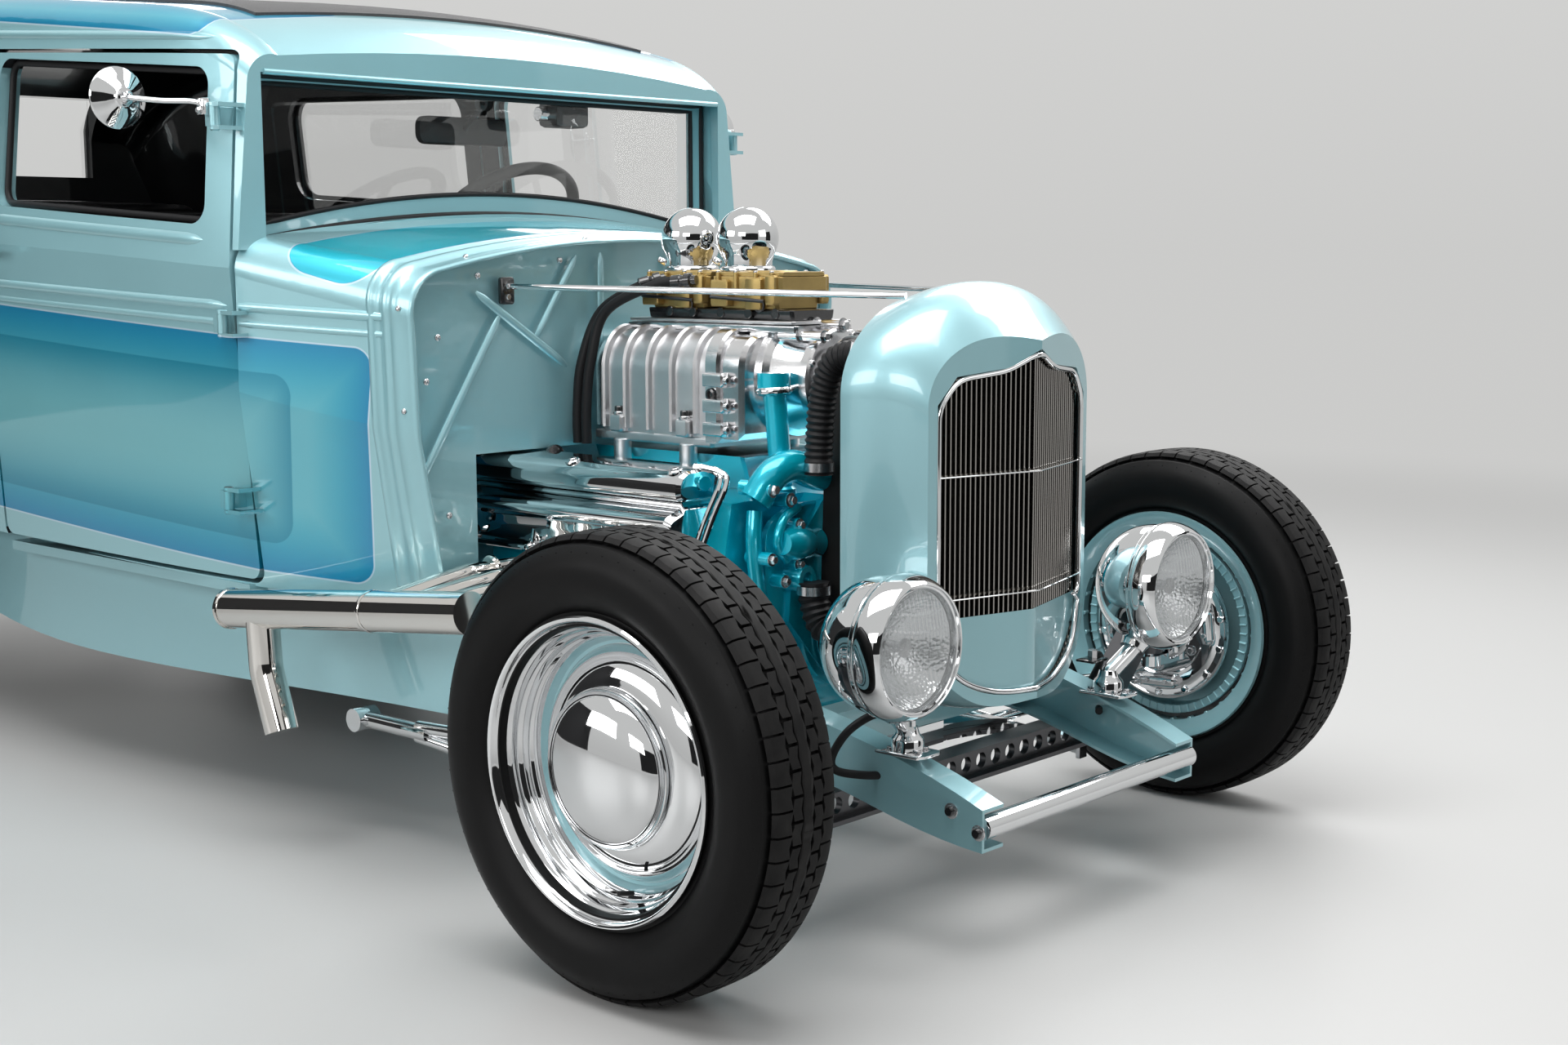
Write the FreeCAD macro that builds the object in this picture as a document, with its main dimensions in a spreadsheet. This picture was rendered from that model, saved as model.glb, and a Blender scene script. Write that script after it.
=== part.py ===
import FreeCAD, Part
import math
import os
import Sketcher
from FreeCAD import Placement, Rotation, Vector

# Street rod sedan on a narrow ladder frame with an open engine.
# Every piece is drawn with the front axle at x = 0, +X forward, +Y left and the road at z = 0.
# A last shift along X brings the middle of the car's length to the origin.
SIZES = {
    # stance
    "wheelbase": 2692,
    "rear_overhang": 588,
    "track": 1393,
    "rear_track": 1450,
    # wheels and tyres
    "tyre_radius": 315,
    "tyre_width": 165,
    "tread_width": 108,
    "rear_tyre_radius": 362,
    "rear_tyre_width": 235,
    "rear_tread_width": 186,
    "bead_radius": 190,
    "flange_radius": 207.5,
    "rim_width": 145,
    "rear_rim_width": 215,
    "cap_radius": 108,
    "cap_height": 84,
    "drum_radius": 142,
    "hub_radius": 58,
    "hub_face": 16,
    # frame
    "rail_depth": 50,
    "rail_wall": 5,
    "horn_half": 280,
    "rail_half": 548,
    "tail_half": 470,
    "horn_reach": 296,
    # front suspension and steering
    "kingpin_half": 590,
    "kingpin_radius": 11,
    "boss_radius": 25,
    "boss_height": 84,
    "beam_middle": 172,
    "beam_height": 52,
    "beam_depth": 44,
    "beam_flange": 7,
    "arm_reach": 150,
    "tie_rod_height": 172,
    "tie_rod_radius": 10,
    "rod_radius": 11,
    "rod_mount": 420,
    "rod_pivot_back": 900,
    "rod_pivot_half": 462,
    "rod_pivot_height": 196,
    # lamps
    "lamp_half": 347,
    "lamp_height": 443,
    "lamp_front": 214,
    "lamp_radius": 98,
    "lamp_length": 150,
    # shell and grille
    "shell_half": 240,
    "shell_top": 940,
    "shell_foot": 300,
    "shell_back": -22,
    "shell_wall": 7,
    "nose_reach": 168,
    "grille_half": 188,
    "grille_top": 842,
    "grille_foot": 322,
    "bar_width": 3,
    "bar_pitch": 9,
    # engine
    "engine_front": -250,
    "engine_back": -800,
    "crank_height": 365,
    "cover_length": 520,
    "blower_half": 120,
    "blower_foot": 670,
    "blower_top": 858,
    # body
    "firewall": -710,
    "door_front": -1045,
    "door_back": -1810,
    "door_gap": 7,
    "door_foot": 436,
    "wall": 38,
    "roof_wall": 24,
    "body_back": -3150,
    "screen_x": -1071,
    "glass": 6,
    "hinge_out": 618,
    # running clearance between pieces that turn on each other, and between pieces that only meet
    "running": 6,
    "seat_gap": 0.3,
}


class Rule:
    """A length worked out from the sheet: its value now and the expression that keeps it true."""

    def __init__(self, value, text):
        self.value = value
        self.text = text

    def __float__(self):
        return float(self.value)

    def __add__(self, other):
        return Rule(self.value + float(other), f"({self.text} + {written(other)})")

    def __radd__(self, other):
        return Rule(float(other) + self.value, f"({written(other)} + {self.text})")

    def __sub__(self, other):
        return Rule(self.value - float(other), f"({self.text} - {written(other)})")

    def __rsub__(self, other):
        return Rule(float(other) - self.value, f"({written(other)} - {self.text})")

    def __mul__(self, other):
        return Rule(self.value * float(other), f"({self.text} * {written(other)})")

    def __rmul__(self, other):
        return Rule(self.value * float(other), f"({written(other)} * {self.text})")

    def __truediv__(self, other):
        return Rule(self.value / float(other), f"({self.text} / {written(other)})")

    def __neg__(self):
        return Rule(-self.value, f"(-1 * {self.text})")


def written(length):
    """The text of a length, whether it is a rule or a plain number."""
    if isinstance(length, Rule):
        return length.text
    return repr(float(length))


class Sheet:
    """The driving dimensions: a spreadsheet, and each of its cells as a rule under its own name."""

    def __init__(self, document, sizes):
        table = document.addObject("Spreadsheet::Sheet", "Sizes")
        for row, (alias, value) in enumerate(sizes.items(), start=1):
            table.set(f"A{row}", alias)
            table.set(f"B{row}", str(value))
            table.setAlias(f"B{row}", alias)
        document.recompute()
        for alias in sizes:
            setattr(self, alias, Rule(float(table.get(alias)), f"Sizes.{alias}"))


doc = FreeCAD.newDocument("StreetRod")
s = Sheet(doc, SIZES)
nodes = []

ALONG = {
    "x": Rotation(Vector(0, 0, 1), Vector(1, 0, 0)),
    "y": Rotation(Vector(0, 0, 1), Vector(0, 1, 0)),
    "z": Rotation(),
}
# Lengths outside the sheet's reach: a cut passes this far beyond what it cuts.
BEYOND = 50


def number(length):
    return float(length)


def vector(at):
    return Vector(*(float(part) for part in at))


def place(item, at, turn=None):
    """Put an object at a point whose coordinates stay bound to the sheet."""
    item.Placement = Placement(vector(at), turn or Rotation())
    for letter, length in zip("xyz", at):
        if isinstance(length, Rule):
            item.setExpression(f"Placement.Base.{letter}", length.text)
    return item


def bind(item, prop, length):
    """Give an object one of its sizes."""
    if isinstance(length, Rule):
        item.setExpression(prop, length.text)
    else:
        setattr(item, prop, length)


def block(name, x, y, z):
    """A box between two values on each axis."""
    item = doc.addObject("Part::Box", name)
    bind(item, "Length", x[1] - x[0])
    bind(item, "Width", y[1] - y[0])
    bind(item, "Height", z[1] - z[0])
    return place(item, (x[0], y[0], z[0]))


def disc(name, radius, length, at, axis="z"):
    """A cylinder that starts at a point and runs along an axis."""
    item = doc.addObject("Part::Cylinder", name)
    bind(item, "Radius", radius)
    bind(item, "Height", length)
    return place(item, at, ALONG[axis])


def taper(name, radius, end_radius, length, at, axis="z"):
    """A cone that starts at a point and runs along an axis."""
    item = doc.addObject("Part::Cone", name)
    bind(item, "Radius1", radius)
    bind(item, "Radius2", end_radius)
    bind(item, "Height", length)
    return place(item, at, ALONG[axis])


def torus(name, ring, tube, at, turn=None):
    item = doc.addObject("Part::Torus", name)
    bind(item, "Radius1", ring)
    bind(item, "Radius2", tube)
    return place(item, at, turn)


def feature(name, form):
    """A form that no primitive or sketch makes, from the part functions."""
    item = doc.addObject("Part::Feature", name)
    item.Shape = form
    return item


def fuse(name, *items):
    item = doc.addObject("Part::MultiFuse", name)
    item.Shapes = list(items)
    return item


def common(name, *items):
    item = doc.addObject("Part::MultiCommon", name)
    item.Shapes = list(items)
    return item


def cut(name, base, *tools):
    tool = tools[0]
    if len(tools) > 1:
        tool = fuse(name + "_tools", *tools)
    item = doc.addObject("Part::Cut", name)
    item.Base = base
    item.Tool = tool
    return item


def mirror(name, item):
    """The same piece on the other side of the car."""
    twin = doc.addObject("Part::Mirroring", name)
    twin.Source = item
    twin.Normal = Vector(0, 1, 0)
    return twin


def pair(name, item):
    """A piece and its mirror image."""
    return [item, mirror(name + "_twin", item)]


def arc_side(start, end, radius):
    """The arc of a side: its circle's centre lies left of the way for a positive radius."""
    middle = (start + end) / 2
    along = end - start
    half = along.Length / 2
    rise = math.sqrt(max(radius * radius - half * half, 0))
    left = Vector(-along.y, along.x, 0) / along.Length
    sign = 1 if radius > 0 else -1
    centre = middle + left * rise * sign
    first, last = (start, end) if radius > 0 else (end, start)
    angle = math.atan2(first.y - centre.y, first.x - centre.x)
    sweep_end = math.atan2(last.y - centre.y, last.x - centre.x)
    circle = Part.Circle(centre, Vector(0, 0, 1), abs(radius))
    return Part.ArcOfCircle(circle, angle, sweep_end)


def outline(body, role, corners, name):
    """A closed sketch. Each corner is (u, v), or (u, v, radius) where the side that ends there is an arc."""
    drawing = body.newObject("Sketcher::SketchObject", name)
    plane = next(item for item in body.Origin.OriginFeatures if item.Role == role)
    drawing.AttachmentSupport = [(plane, "")]
    drawing.MapMode = "FlatFace"
    spots = [Vector(float(corner[0]), float(corner[1]), 0) for corner in corners]
    ends = []
    for index, corner in enumerate(corners):
        start = spots[index - 1]
        end = spots[index]
        if len(corner) == 3:
            side = drawing.addGeometry(arc_side(start, end, float(corner[2])), False)
            forward = float(corner[2]) > 0
            radius = corner[2] if forward else -corner[2]
            ends.append((side, 1 if forward else 2, 2 if forward else 1))
            held = drawing.addConstraint(Sketcher.Constraint("Radius", side, float(radius)))
            if isinstance(radius, Rule):
                drawing.setExpression(f"Constraints[{held}]", radius.text)
        else:
            side = drawing.addGeometry(Part.LineSegment(start, end), False)
            ends.append((side, 1, 2))
    for index, corner in enumerate(corners):
        side, _, last = ends[index]
        after, first, _ = ends[(index + 1) % len(corners)]
        drawing.addConstraint(Sketcher.Constraint("Coincident", side, last, after, first))
        for kind, length in (("DistanceX", corner[0]), ("DistanceY", corner[1])):
            held = drawing.addConstraint(Sketcher.Constraint(kind, -1, 1, side, last, float(length)))
            if isinstance(length, Rule):
                drawing.setExpression(f"Constraints[{held}]", length.text)
    return drawing


def turned(name, corners, at, role="YZ_Plane", axis="H_Axis", turn=None):
    """A body of revolution: half its section, turned about an axis of the sketch."""
    body = doc.addObject("PartDesign::Body", name)
    drawing = outline(body, role, corners, name + "_section")
    spin = body.newObject("PartDesign::Revolution", name + "_turn")
    spin.Profile = drawing
    spin.ReferenceAxis = (drawing, [axis])
    spin.Angle = 360
    return place(body, at, turn)


def plate(name, role, corners, thickness, at, turn=None):
    """A sketch padded to both sides of its plane."""
    body = doc.addObject("PartDesign::Body", name)
    drawing = outline(body, role, corners, name + "_outline")
    pad = body.newObject("PartDesign::Pad", name + "_pad")
    pad.Profile = drawing
    pad.SideType = "Symmetric"
    bind(pad, "Length", thickness)
    return place(body, at, turn)


def bar(start, end, radius):
    """A round bar between two points."""
    way = end - start
    return Part.makeCylinder(radius, way.Length, start, way)


def bent_tube(points, radius, bend):
    """A round tube along straight runs joined by tangent arcs."""
    edges = []
    last = points[0]
    for before, corner, after in zip(points, points[1:], points[2:]):
        inward = (before - corner).normalize()
        outward = (after - corner).normalize()
        half_turn = (math.pi - inward.getAngle(outward)) / 2
        setback = bend * math.tan(half_turn)
        first = corner + inward * setback
        final = corner + outward * setback
        middle_way = (inward + outward).normalize()
        depth = bend / math.cos(half_turn) - bend
        edges.append(Part.LineSegment(last, first).toShape())
        edges.append(Part.Arc(first, corner + middle_way * depth, final).toShape())
        last = final
    edges.append(Part.LineSegment(last, points[-1]).toShape())
    path = Part.Wire(edges)
    ring = Part.Wire(Part.makeCircle(radius, points[0], points[1] - points[0]))
    return path.makePipeShell([ring], True, False)


def node(label, *items):
    """A named sub-part, shifted so that the middle of the car's length is at the origin."""
    item = doc.addObject("Part::Compound", label)
    item.Label = label
    item.Links = list(items)
    nose = (s.wheelbase + s.rear_overhang - s.tyre_radius) / 2
    place(item, (nose, 0, 0))
    nodes.append(item)
    return item


def tyre(name, radius, width, tread, rim_width, at):
    """A tyre: beads inside the flanges, bulged sidewalls, chamfered shoulders and a flat tread."""
    bead = rim_width / 2 - 10.5
    foot = s.flange_radius + 3
    shoulder = tread / 2
    bulge = foot + (radius - foot) * 0.42
    return turned(name, [
        (-bead, s.bead_radius + s.seat_gap),
        (bead, s.bead_radius + s.seat_gap),
        (bead, foot),
        (width / 2, bulge),
        (shoulder + 4, radius - 11),
        (shoulder - 7, radius),
        (7 - shoulder, radius),
        (-shoulder - 4, radius - 11),
        (-width / 2, bulge),
        (-bead, foot),
    ], at)


def rim(name, rim_width, side, at):
    """A smooth steel wheel with ripple rings and a domed cap: side is 1 where out is +Y."""
    edge = rim_width / 2
    offset = s.cap_height - 60
    corners = [
        (edge - 5, s.flange_radius),
        (edge, s.flange_radius - 4),
        (edge - 6, s.bead_radius - 6),
        (offset + 14, s.bead_radius - 16),
        (offset + 4, s.cap_radius + 50),
        (offset + 22, s.cap_radius + 14),
        (offset + 26, s.cap_radius),
        (s.cap_height, 0, -s.cap_radius * 2.1),
        (-s.hub_face, 0),
        (-s.hub_face, s.drum_radius - 10),
        (-s.hub_face - 28, s.drum_radius - 10),
        (-s.hub_face - 28, s.drum_radius),
        (offset - 26, s.drum_radius),
        (offset - 10, s.bead_radius - 24),
        (10 - edge, s.bead_radius - 16),
        (4 - edge, s.flange_radius - 4),
        (5 - edge, s.flange_radius),
        (10 - edge, s.bead_radius),
        (edge - 10, s.bead_radius),
    ]
    turn = Rotation() if side > 0 else Rotation(Vector(0, 0, 1), 180)
    return turned(name, corners, at, turn=turn)


def wheels():
    """Four wheels, each a tyre and a rim with its cap."""
    corners = (
        ("front_right", 0, -1, s.track, s.tyre_radius, s.tyre_width, s.tread_width, s.rim_width),
        ("front_left", 0, 1, s.track, s.tyre_radius, s.tyre_width, s.tread_width, s.rim_width),
        ("rear_right", -s.wheelbase, -1, s.rear_track, s.rear_tyre_radius, s.rear_tyre_width,
         s.rear_tread_width, s.rear_rim_width),
        ("rear_left", -s.wheelbase, 1, s.rear_track, s.rear_tyre_radius, s.rear_tyre_width,
         s.rear_tread_width, s.rear_rim_width),
    )
    for name, x, side, track, radius, width, tread, rim_width in corners:
        at = (x, track * side / 2, radius)
        node("tyre_" + name, tyre("rubber_" + name, radius, width, tread, rim_width, at))
        node("wheel_" + name, rim("rim_" + name, rim_width, side, at))


def rail_curve(points, plane):
    """A smooth line through (x, value) points, in the XY or XZ plane."""
    spots = []
    for along, value in points:
        if plane == "xy":
            spots.append(Vector(float(along), float(value), 0))
        else:
            spots.append(Vector(float(along), 0, float(value)))
    curve = Part.BSplineCurve()
    curve.interpolate(spots)
    return curve.toShape()


def prism(upper, lower, way):
    """The solid between two lines that run side by side, pushed along a vector."""
    first = Part.LineSegment(upper.Vertexes[0].Point, lower.Vertexes[0].Point).toShape()
    last = Part.LineSegment(upper.Vertexes[-1].Point, lower.Vertexes[-1].Point).toShape()
    face = Part.Face(Part.Wire(Part.__sortEdges__([upper, first, lower, last])))
    return face.extrude(way)


def rail_plan():
    """The outer face of the left rail in plan: (x, y) from the horn to the tail."""
    horn = number(s.horn_half)
    wide = number(s.rail_half)
    return ((s.horn_reach + BEYOND, horn), (0, horn + 18), (-400, horn + 66), (-750, wide - 128),
            (-1150, wide - 56), (-1600, wide - 8), (-2150, wide), (-s.wheelbase, wide - 40),
            (-s.wheelbase - s.rear_overhang - BEYOND, s.tail_half))


def between_rails():
    """Everything between the outer faces of the two rails."""
    left = rail_curve(rail_plan(), "xy")
    right = rail_curve([(along, -number(value)) for along, value in rail_plan()], "xy")
    return prism(left, right, Vector(0, 0, 800))


def rail_form(inset):
    """A side rail's swept form: its side view met with its plan view."""
    reach = number(s.horn_reach)
    axle = number(s.wheelbase)
    back = -axle - number(s.rear_overhang)
    top = ((reach - 22, 214), (120, 268), (0, 298), (-400, 372), (-750, 408), (-1500, 424),
           (-1950, 446), (-2350, 510), (-axle, 542), (back, 490))
    foot = ((reach - 22, 152), (120, 178), (0, 209), (-400, 214), (-800, 224), (-1500, 228),
            (-1950, 256), (-2350, 348), (-axle, 420), (back, 405))
    plan = rail_plan()
    wide = number(s.rail_half)
    upper = [(along, value - inset) for along, value in top]
    lower = [(along, value + inset) for along, value in foot]
    depth = number(s.rail_depth)
    outer = [(along, number(value) - inset) for along, value in plan]
    inner = [(along, number(value) - depth - abs(inset)) for along, value in plan]
    side = prism(rail_curve(upper, "xz"), rail_curve(lower, "xz"), Vector(0, wide + BEYOND, 0))
    band = prism(rail_curve(outer, "xy"), rail_curve(inner, "xy"), Vector(0, 0, 800))
    return side.common(band)


def frame():
    """The ladder frame: channel rails with their front horns, and the crossmembers that reach into them."""
    wall = number(s.rail_wall)
    gap = number(s.seat_gap)
    rail = feature("rail_left", rail_form(0).cut(rail_form(wall)))
    room = feature("rail_room_left", rail_form(-gap).cut(rail_form(wall + gap)))
    wide = s.rail_half
    members = fuse(
        "members",
        block("front_member", (-96, -46), (-wide, wide), (236, 292)),
        block("engine_mount_left", (-560, -500), (115.2, wide), (296, 340)),
        block("engine_mount_right", (-560, -500), (-wide, -115.2), (296, 340)),
        block("middle_member", (-1290, -1230), (-wide, wide), (232, 254.7)),
        block("arm_member", (-1790, -1740), (-wide, wide), (240, 276)),
        block("kick_member", (-2240, -2190), (-wide, wide), (425, 470)),
        block("rear_member", (-2960, -2900), (-wide, wide), (432, 490)),
    )
    fitted = common("fitted_members", members, feature("rail_span", between_rails()))
    joint = block("horn_joint", (-120 - gap, -120), (0, wide + BEYOND), (0, 800))
    lengths = cut("rail_lengths_left", rail, joint)
    node("frame", lengths, mirror("rail_right", lengths))
    node("crossmembers", cut("crossmember_form", fitted, *pair("rail_room", room)))
    reach = s.horn_reach - 24
    tail = -s.wheelbase - s.rear_overhang + 30
    front_half = s.horn_half - 2.8
    front_bar = disc("front_spreader", 17, front_half * 2, (reach - 4, -front_half, 186), "y")
    rear_half = s.tail_half - s.rail_wall + 1
    rear_bar = disc("rear_spreader", 17, rear_half * 2, (tail, -rear_half, 448), "y")
    node("spreader_bars", front_bar, rear_bar)


def front_axle():
    """A dropped I-beam between two kingpin bosses, with round lightening holes in its web."""
    half = s.kingpin_half
    low = s.beam_middle - s.beam_height / 2
    high = s.beam_middle + s.beam_height / 2
    hub = s.tyre_radius
    flat = half - 180
    beam = plate("beam", "YZ_Plane", [
        (-half, hub - 26),
        (-half + 40, hub - 28),
        (-flat, low),
        (flat, low),
        (half - 40, hub - 28),
        (half, hub - 26),
        (half, hub + 26),
        (half - 50, hub + 24),
        (flat - 16, high),
        (16 - flat, high),
        (50 - half, hub + 24),
        (-half, hub + 26),
    ], s.beam_depth, (0, 0, 0))
    pockets = []
    for name, x in (("front", s.beam_depth / 2), ("back", -s.beam_depth / 2)):
        pockets.append(block("beam_pocket_" + name, (x - 16, x + 16), (-flat + 10, flat - 10),
                             (low + s.beam_flange, high - s.beam_flange)))
    holes = []
    for index in range(-9, 10):
        at = (-30, index * 40, s.beam_middle)
        holes.append(disc(f"beam_hole_{index + 9}", 13, 60, at, "x"))
    bosses = []
    bores = []
    for name, side in (("right", -1), ("left", 1)):
        at = (0, half * side, hub - s.boss_height / 2)
        bosses.append(disc("kingpin_boss_" + name, s.boss_radius, s.boss_height, at))
        bores.append(disc("kingpin_bore_" + name, s.kingpin_radius + s.seat_gap, s.boss_height + 4,
                          (0, half * side, hub - s.boss_height / 2 - 2)))
    solid = fuse("axle_solid", beam, *bosses)
    node("front_axle", cut("axle_form", solid, *pockets, *holes, *bores))


def knuckles():
    """Stub axles on kingpins, each with its brake plate and its steering arm."""
    hub = s.tyre_radius
    lug = s.boss_height / 2 + s.running
    for name, side in (("right", -1), ("left", 1)):
        pin_y = s.kingpin_half * side
        wheel_y = s.track / 2 * side
        pieces = [disc("kingpin_" + name, s.kingpin_radius, lug * 2 + 36, (0, pin_y, hub - lug - 18))]
        for step, sign in (("top", 1), ("foot", -1)):
            base = hub + lug if sign > 0 else hub - lug - 18
            pieces.append(disc(f"lug_{step}_{name}", 22, 18, (0, pin_y, base)))
            near = pin_y + 10 * side
            far = pin_y + 46 * side
            span = (near, far) if side > 0 else (far, near)
            pieces.append(block(f"yoke_{step}_{name}", (-20, 20), span, (base, base + 18)))
        inner = pin_y + 34 * side
        outer = pin_y + 46 * side
        span = (inner, outer) if side > 0 else (outer, inner)
        pieces.append(block("yoke_" + name, (-22, 22), span, (hub - lug - 18, hub + lug + 18)))
        plate_y = outer if side > 0 else outer - 4
        pieces.append(disc("brake_plate_" + name, s.drum_radius - 8, 4, (0, plate_y, hub), "y"))
        hub_y = wheel_y - (s.hub_face + s.seat_gap) * side
        hub_length = (hub_y - outer) * side
        hub_start = outer if side > 0 else hub_y
        pieces.append(disc("stub_" + name, s.hub_radius, hub_length, (0, hub_start, hub), "y"))
        arm_y = s.kingpin_half * side
        start = Vector(0, float(pin_y), float(hub - lug - 9))
        knee = Vector(-60, float(pin_y), float(s.tie_rod_height) + 50)
        end = Vector(-float(s.arm_reach), float(arm_y), float(s.tie_rod_height) + 26)
        arm = bar(start, knee, 11).fuse(bar(knee, end, 11)).fuse(Part.makeSphere(11, knee))
        pieces.append(feature("steering_arm_" + name, arm))
        eye = disc("arm_eye_" + name, 15, 18, (-s.arm_reach, arm_y, s.tie_rod_height + 18))
        hole = disc("arm_hole_" + name, 8 + s.seat_gap, 60, (-s.arm_reach, arm_y, s.tie_rod_height))
        solid = fuse("knuckle_solid_" + name, *pieces, eye)
        node("knuckle_" + name, cut("knuckle_form_" + name, solid, hole))


def tie_rod():
    """The rod that keeps both front wheels parallel, with a stud at each end."""
    half = s.kingpin_half
    pieces = [disc("tie_rod_bar", s.tie_rod_radius, half * 2, (-s.arm_reach, -half, s.tie_rod_height), "y")]
    for name, side in (("right", -1), ("left", 1)):
        at = (-s.arm_reach, half * side, s.tie_rod_height - 14)
        pieces.append(disc("rod_end_" + name, 15, 28, at))
        pieces.append(disc("rod_stud_" + name, 8, 54, at))
    node("tie_rod", fuse("tie_rod_form", *pieces))


def front_suspension():
    """The transverse leaf spring behind the axle and the hairpin radius rods."""
    half = s.rod_mount - 13.3
    leaves = []
    for index in range(3):
        reach = half - index * 90
        drop = 66.0 * (float(reach) / float(half)) ** 2
        low = 205 + index * 9
        ends = Vector(-70, 0, low)
        curve = Part.Arc(Vector(-70, -float(reach), low - drop), ends, Vector(-70, float(reach), low - drop))
        path = Part.Wire(curve.toShape())
        start = path.Edges[0].Vertexes[0].Point
        way = path.Edges[0].tangentAt(path.Edges[0].FirstParameter)
        side = Vector(1, 0, 0)
        rise = way.cross(side).normalize()
        corners = [start + side * a + rise * b for a, b in ((-22, -4.2), (22, -4.2), (22, 4.2), (-22, 4.2))]
        leaf = path.makePipeShell([Part.makePolygon(corners + corners[:1])], True, False)
        leaves.append(feature(f"leaf_{index}", leaf))
    clamp = block("spring_clamp", (-96, -44), (-45, 45), (200, 235.7))
    spring = fuse("spring_form", clamp, *leaves)
    rods = []
    for name, side in (("right", -1), ("left", 1)):
        mount = float(s.rod_mount) * side
        pivot = Vector(-float(s.rod_pivot_back), float(s.rod_pivot_half) * side, float(s.rod_pivot_height))
        top = Vector(-float(s.beam_depth) / 2 - 8, mount, 226)
        foot = Vector(-float(s.beam_depth) / 2 - 8, mount, 122)
        merge = pivot + Vector(150, 0, 0)
        radius = float(s.rod_radius)
        form = bar(top, merge + Vector(0, 0, 8), radius)
        form = form.fuse(bar(foot, merge - Vector(0, 0, 8), radius))
        form = form.fuse(bar(merge + Vector(30, 0, 0), pivot, radius + 3))
        form = form.fuse(Part.makeCylinder(20, 44, pivot - Vector(0, 22, 0), Vector(0, 1, 0)))
        face = -float(s.beam_depth) / 2 - float(s.seat_gap)
        wing = Part.makeBox(8, 22, 138, Vector(face - 8, mount - 11, 106))
        eye = Part.makeBox(62, 26, 24, Vector(face - 70, mount - 13, 128))
        rods.append(feature("radius_rod_" + name, form.fuse([wing, eye])))
    node("front_suspension", fuse("suspension_form", spring, *rods))


def rear_axle():
    """The driven axle with its nose, the propeller shaft, radius arms and two coil units."""
    hub = s.rear_tyre_radius
    x = -s.wheelbase
    half = s.rear_track / 2 - 92
    pieces = [
        disc("axle_tube", 40, half * 2, (x, -half, hub), "y"),
        turned("axle_case", [(-70, 0), (-70, 95), (-40, 140), (40, 140), (70, 95), (70, 0)],
               (x, 0, hub)),
        taper("axle_nose", 90, 45, 150, (x + 90, 0, hub), "x"),
        disc("shaft", 38, s.engine_back - 640 - s.seat_gap - (x + 235), (x + 235, 0, hub), "x"),
    ]
    for name, side in (("right", -1), ("left", 1)):
        base = half * side if side > 0 else -half - 20
        pieces.append(disc("rear_plate_" + name, s.drum_radius - 8, 20, (x, base, hub), "y"))
        hub_length = s.rear_track / 2 - s.hub_face - s.seat_gap - half - 20
        hub_start = half + 20 if side > 0 else -half - 20 - hub_length
        pieces.append(disc("rear_hub_" + name, s.hub_radius, hub_length, (x, hub_start, hub), "y"))
    node("rear_axle", fuse("rear_axle_form", *pieces))
    arms = []
    for name, side in (("right", -1), ("left", 1)):
        inner = (s.rail_half - 178) * side
        y = float(inner)
        arm = bar(Vector(float(x) + 20, y, float(hub) - 58.4), Vector(-1791.7, y, 254), 18)
        unit = bar(Vector(float(x) - 92, y, 300), Vector(float(x) - 120, y, 530), 26)
        link = Part.makeBox(64, 24, 60, Vector(float(x) - 102.5, y - 12, 290))
        arms.append(feature("radius_arm_" + name, arm))
        arms.append(feature("coil_unit_" + name, unit.fuse(link)))
    node("rear_suspension", *arms)


def engine():
    """The engine: block, heads, timing cover, pan, gearbox and the oil filler."""
    front = s.engine_front
    back = s.engine_back
    crank = s.crank_height
    length = front - back
    middle = (front + back) / 2
    vee = plate("block_vee", "YZ_Plane", [
        (-110, -94), (110, -94), (118, 20), (200, 50), (252, 68), (252, 132), (232, 232), (110, 235),
        (-110, 235), (-232, 232), (-252, 132), (-252, 68), (-200, 50), (-118, 20),
    ], length, (middle, 0, crank))
    pan = block("oil_pan", (back + 60, front - 40), (-105, 105), (crank - 180, crank - 92))
    timing = disc("timing_cover", 118, 46, (front - 2, 0, crank + 30), "x")
    pump = plate("pump_housing", "YZ_Plane", [
        (-150, 40), (-60, -60), (60, -60), (150, 40), (140, 150), (60, 235), (-60, 235), (-140, 150),
    ], 52, (front + 20, 0, crank))
    bell = taper("bell_housing", 112, 148, 164, (back - 162, 0, crank + 4), "x")
    gearbox = block("gearbox", (back - 640, back - 160), (-100, 100), (crank - 110, crank + 62))
    filler = feature("filler_tube", bar(Vector(-262, -100, 560), Vector(-279, -100, 764), 17))
    cap = disc("filler_cap", 27, 34, (-280, -100, 760))
    node("engine_block", fuse("engine_form", vee, pan, timing, pump, bell, gearbox, filler, cap))


def valve_covers():
    """Stepped covers over the two banks of valves."""
    back = s.engine_back - 8
    length = s.cover_length
    cover = plate("cover_left", "YZ_Plane", [
        (252.5, 497.5), (338, 492), (352, 540), (338, 566), (344, 582), (296, 640), (206, 644),
        (206, 598), (232.4, 597.7),
    ], length, (back + length / 2, 0, 0))
    node("valve_covers", *pair("cover", cover))


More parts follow.
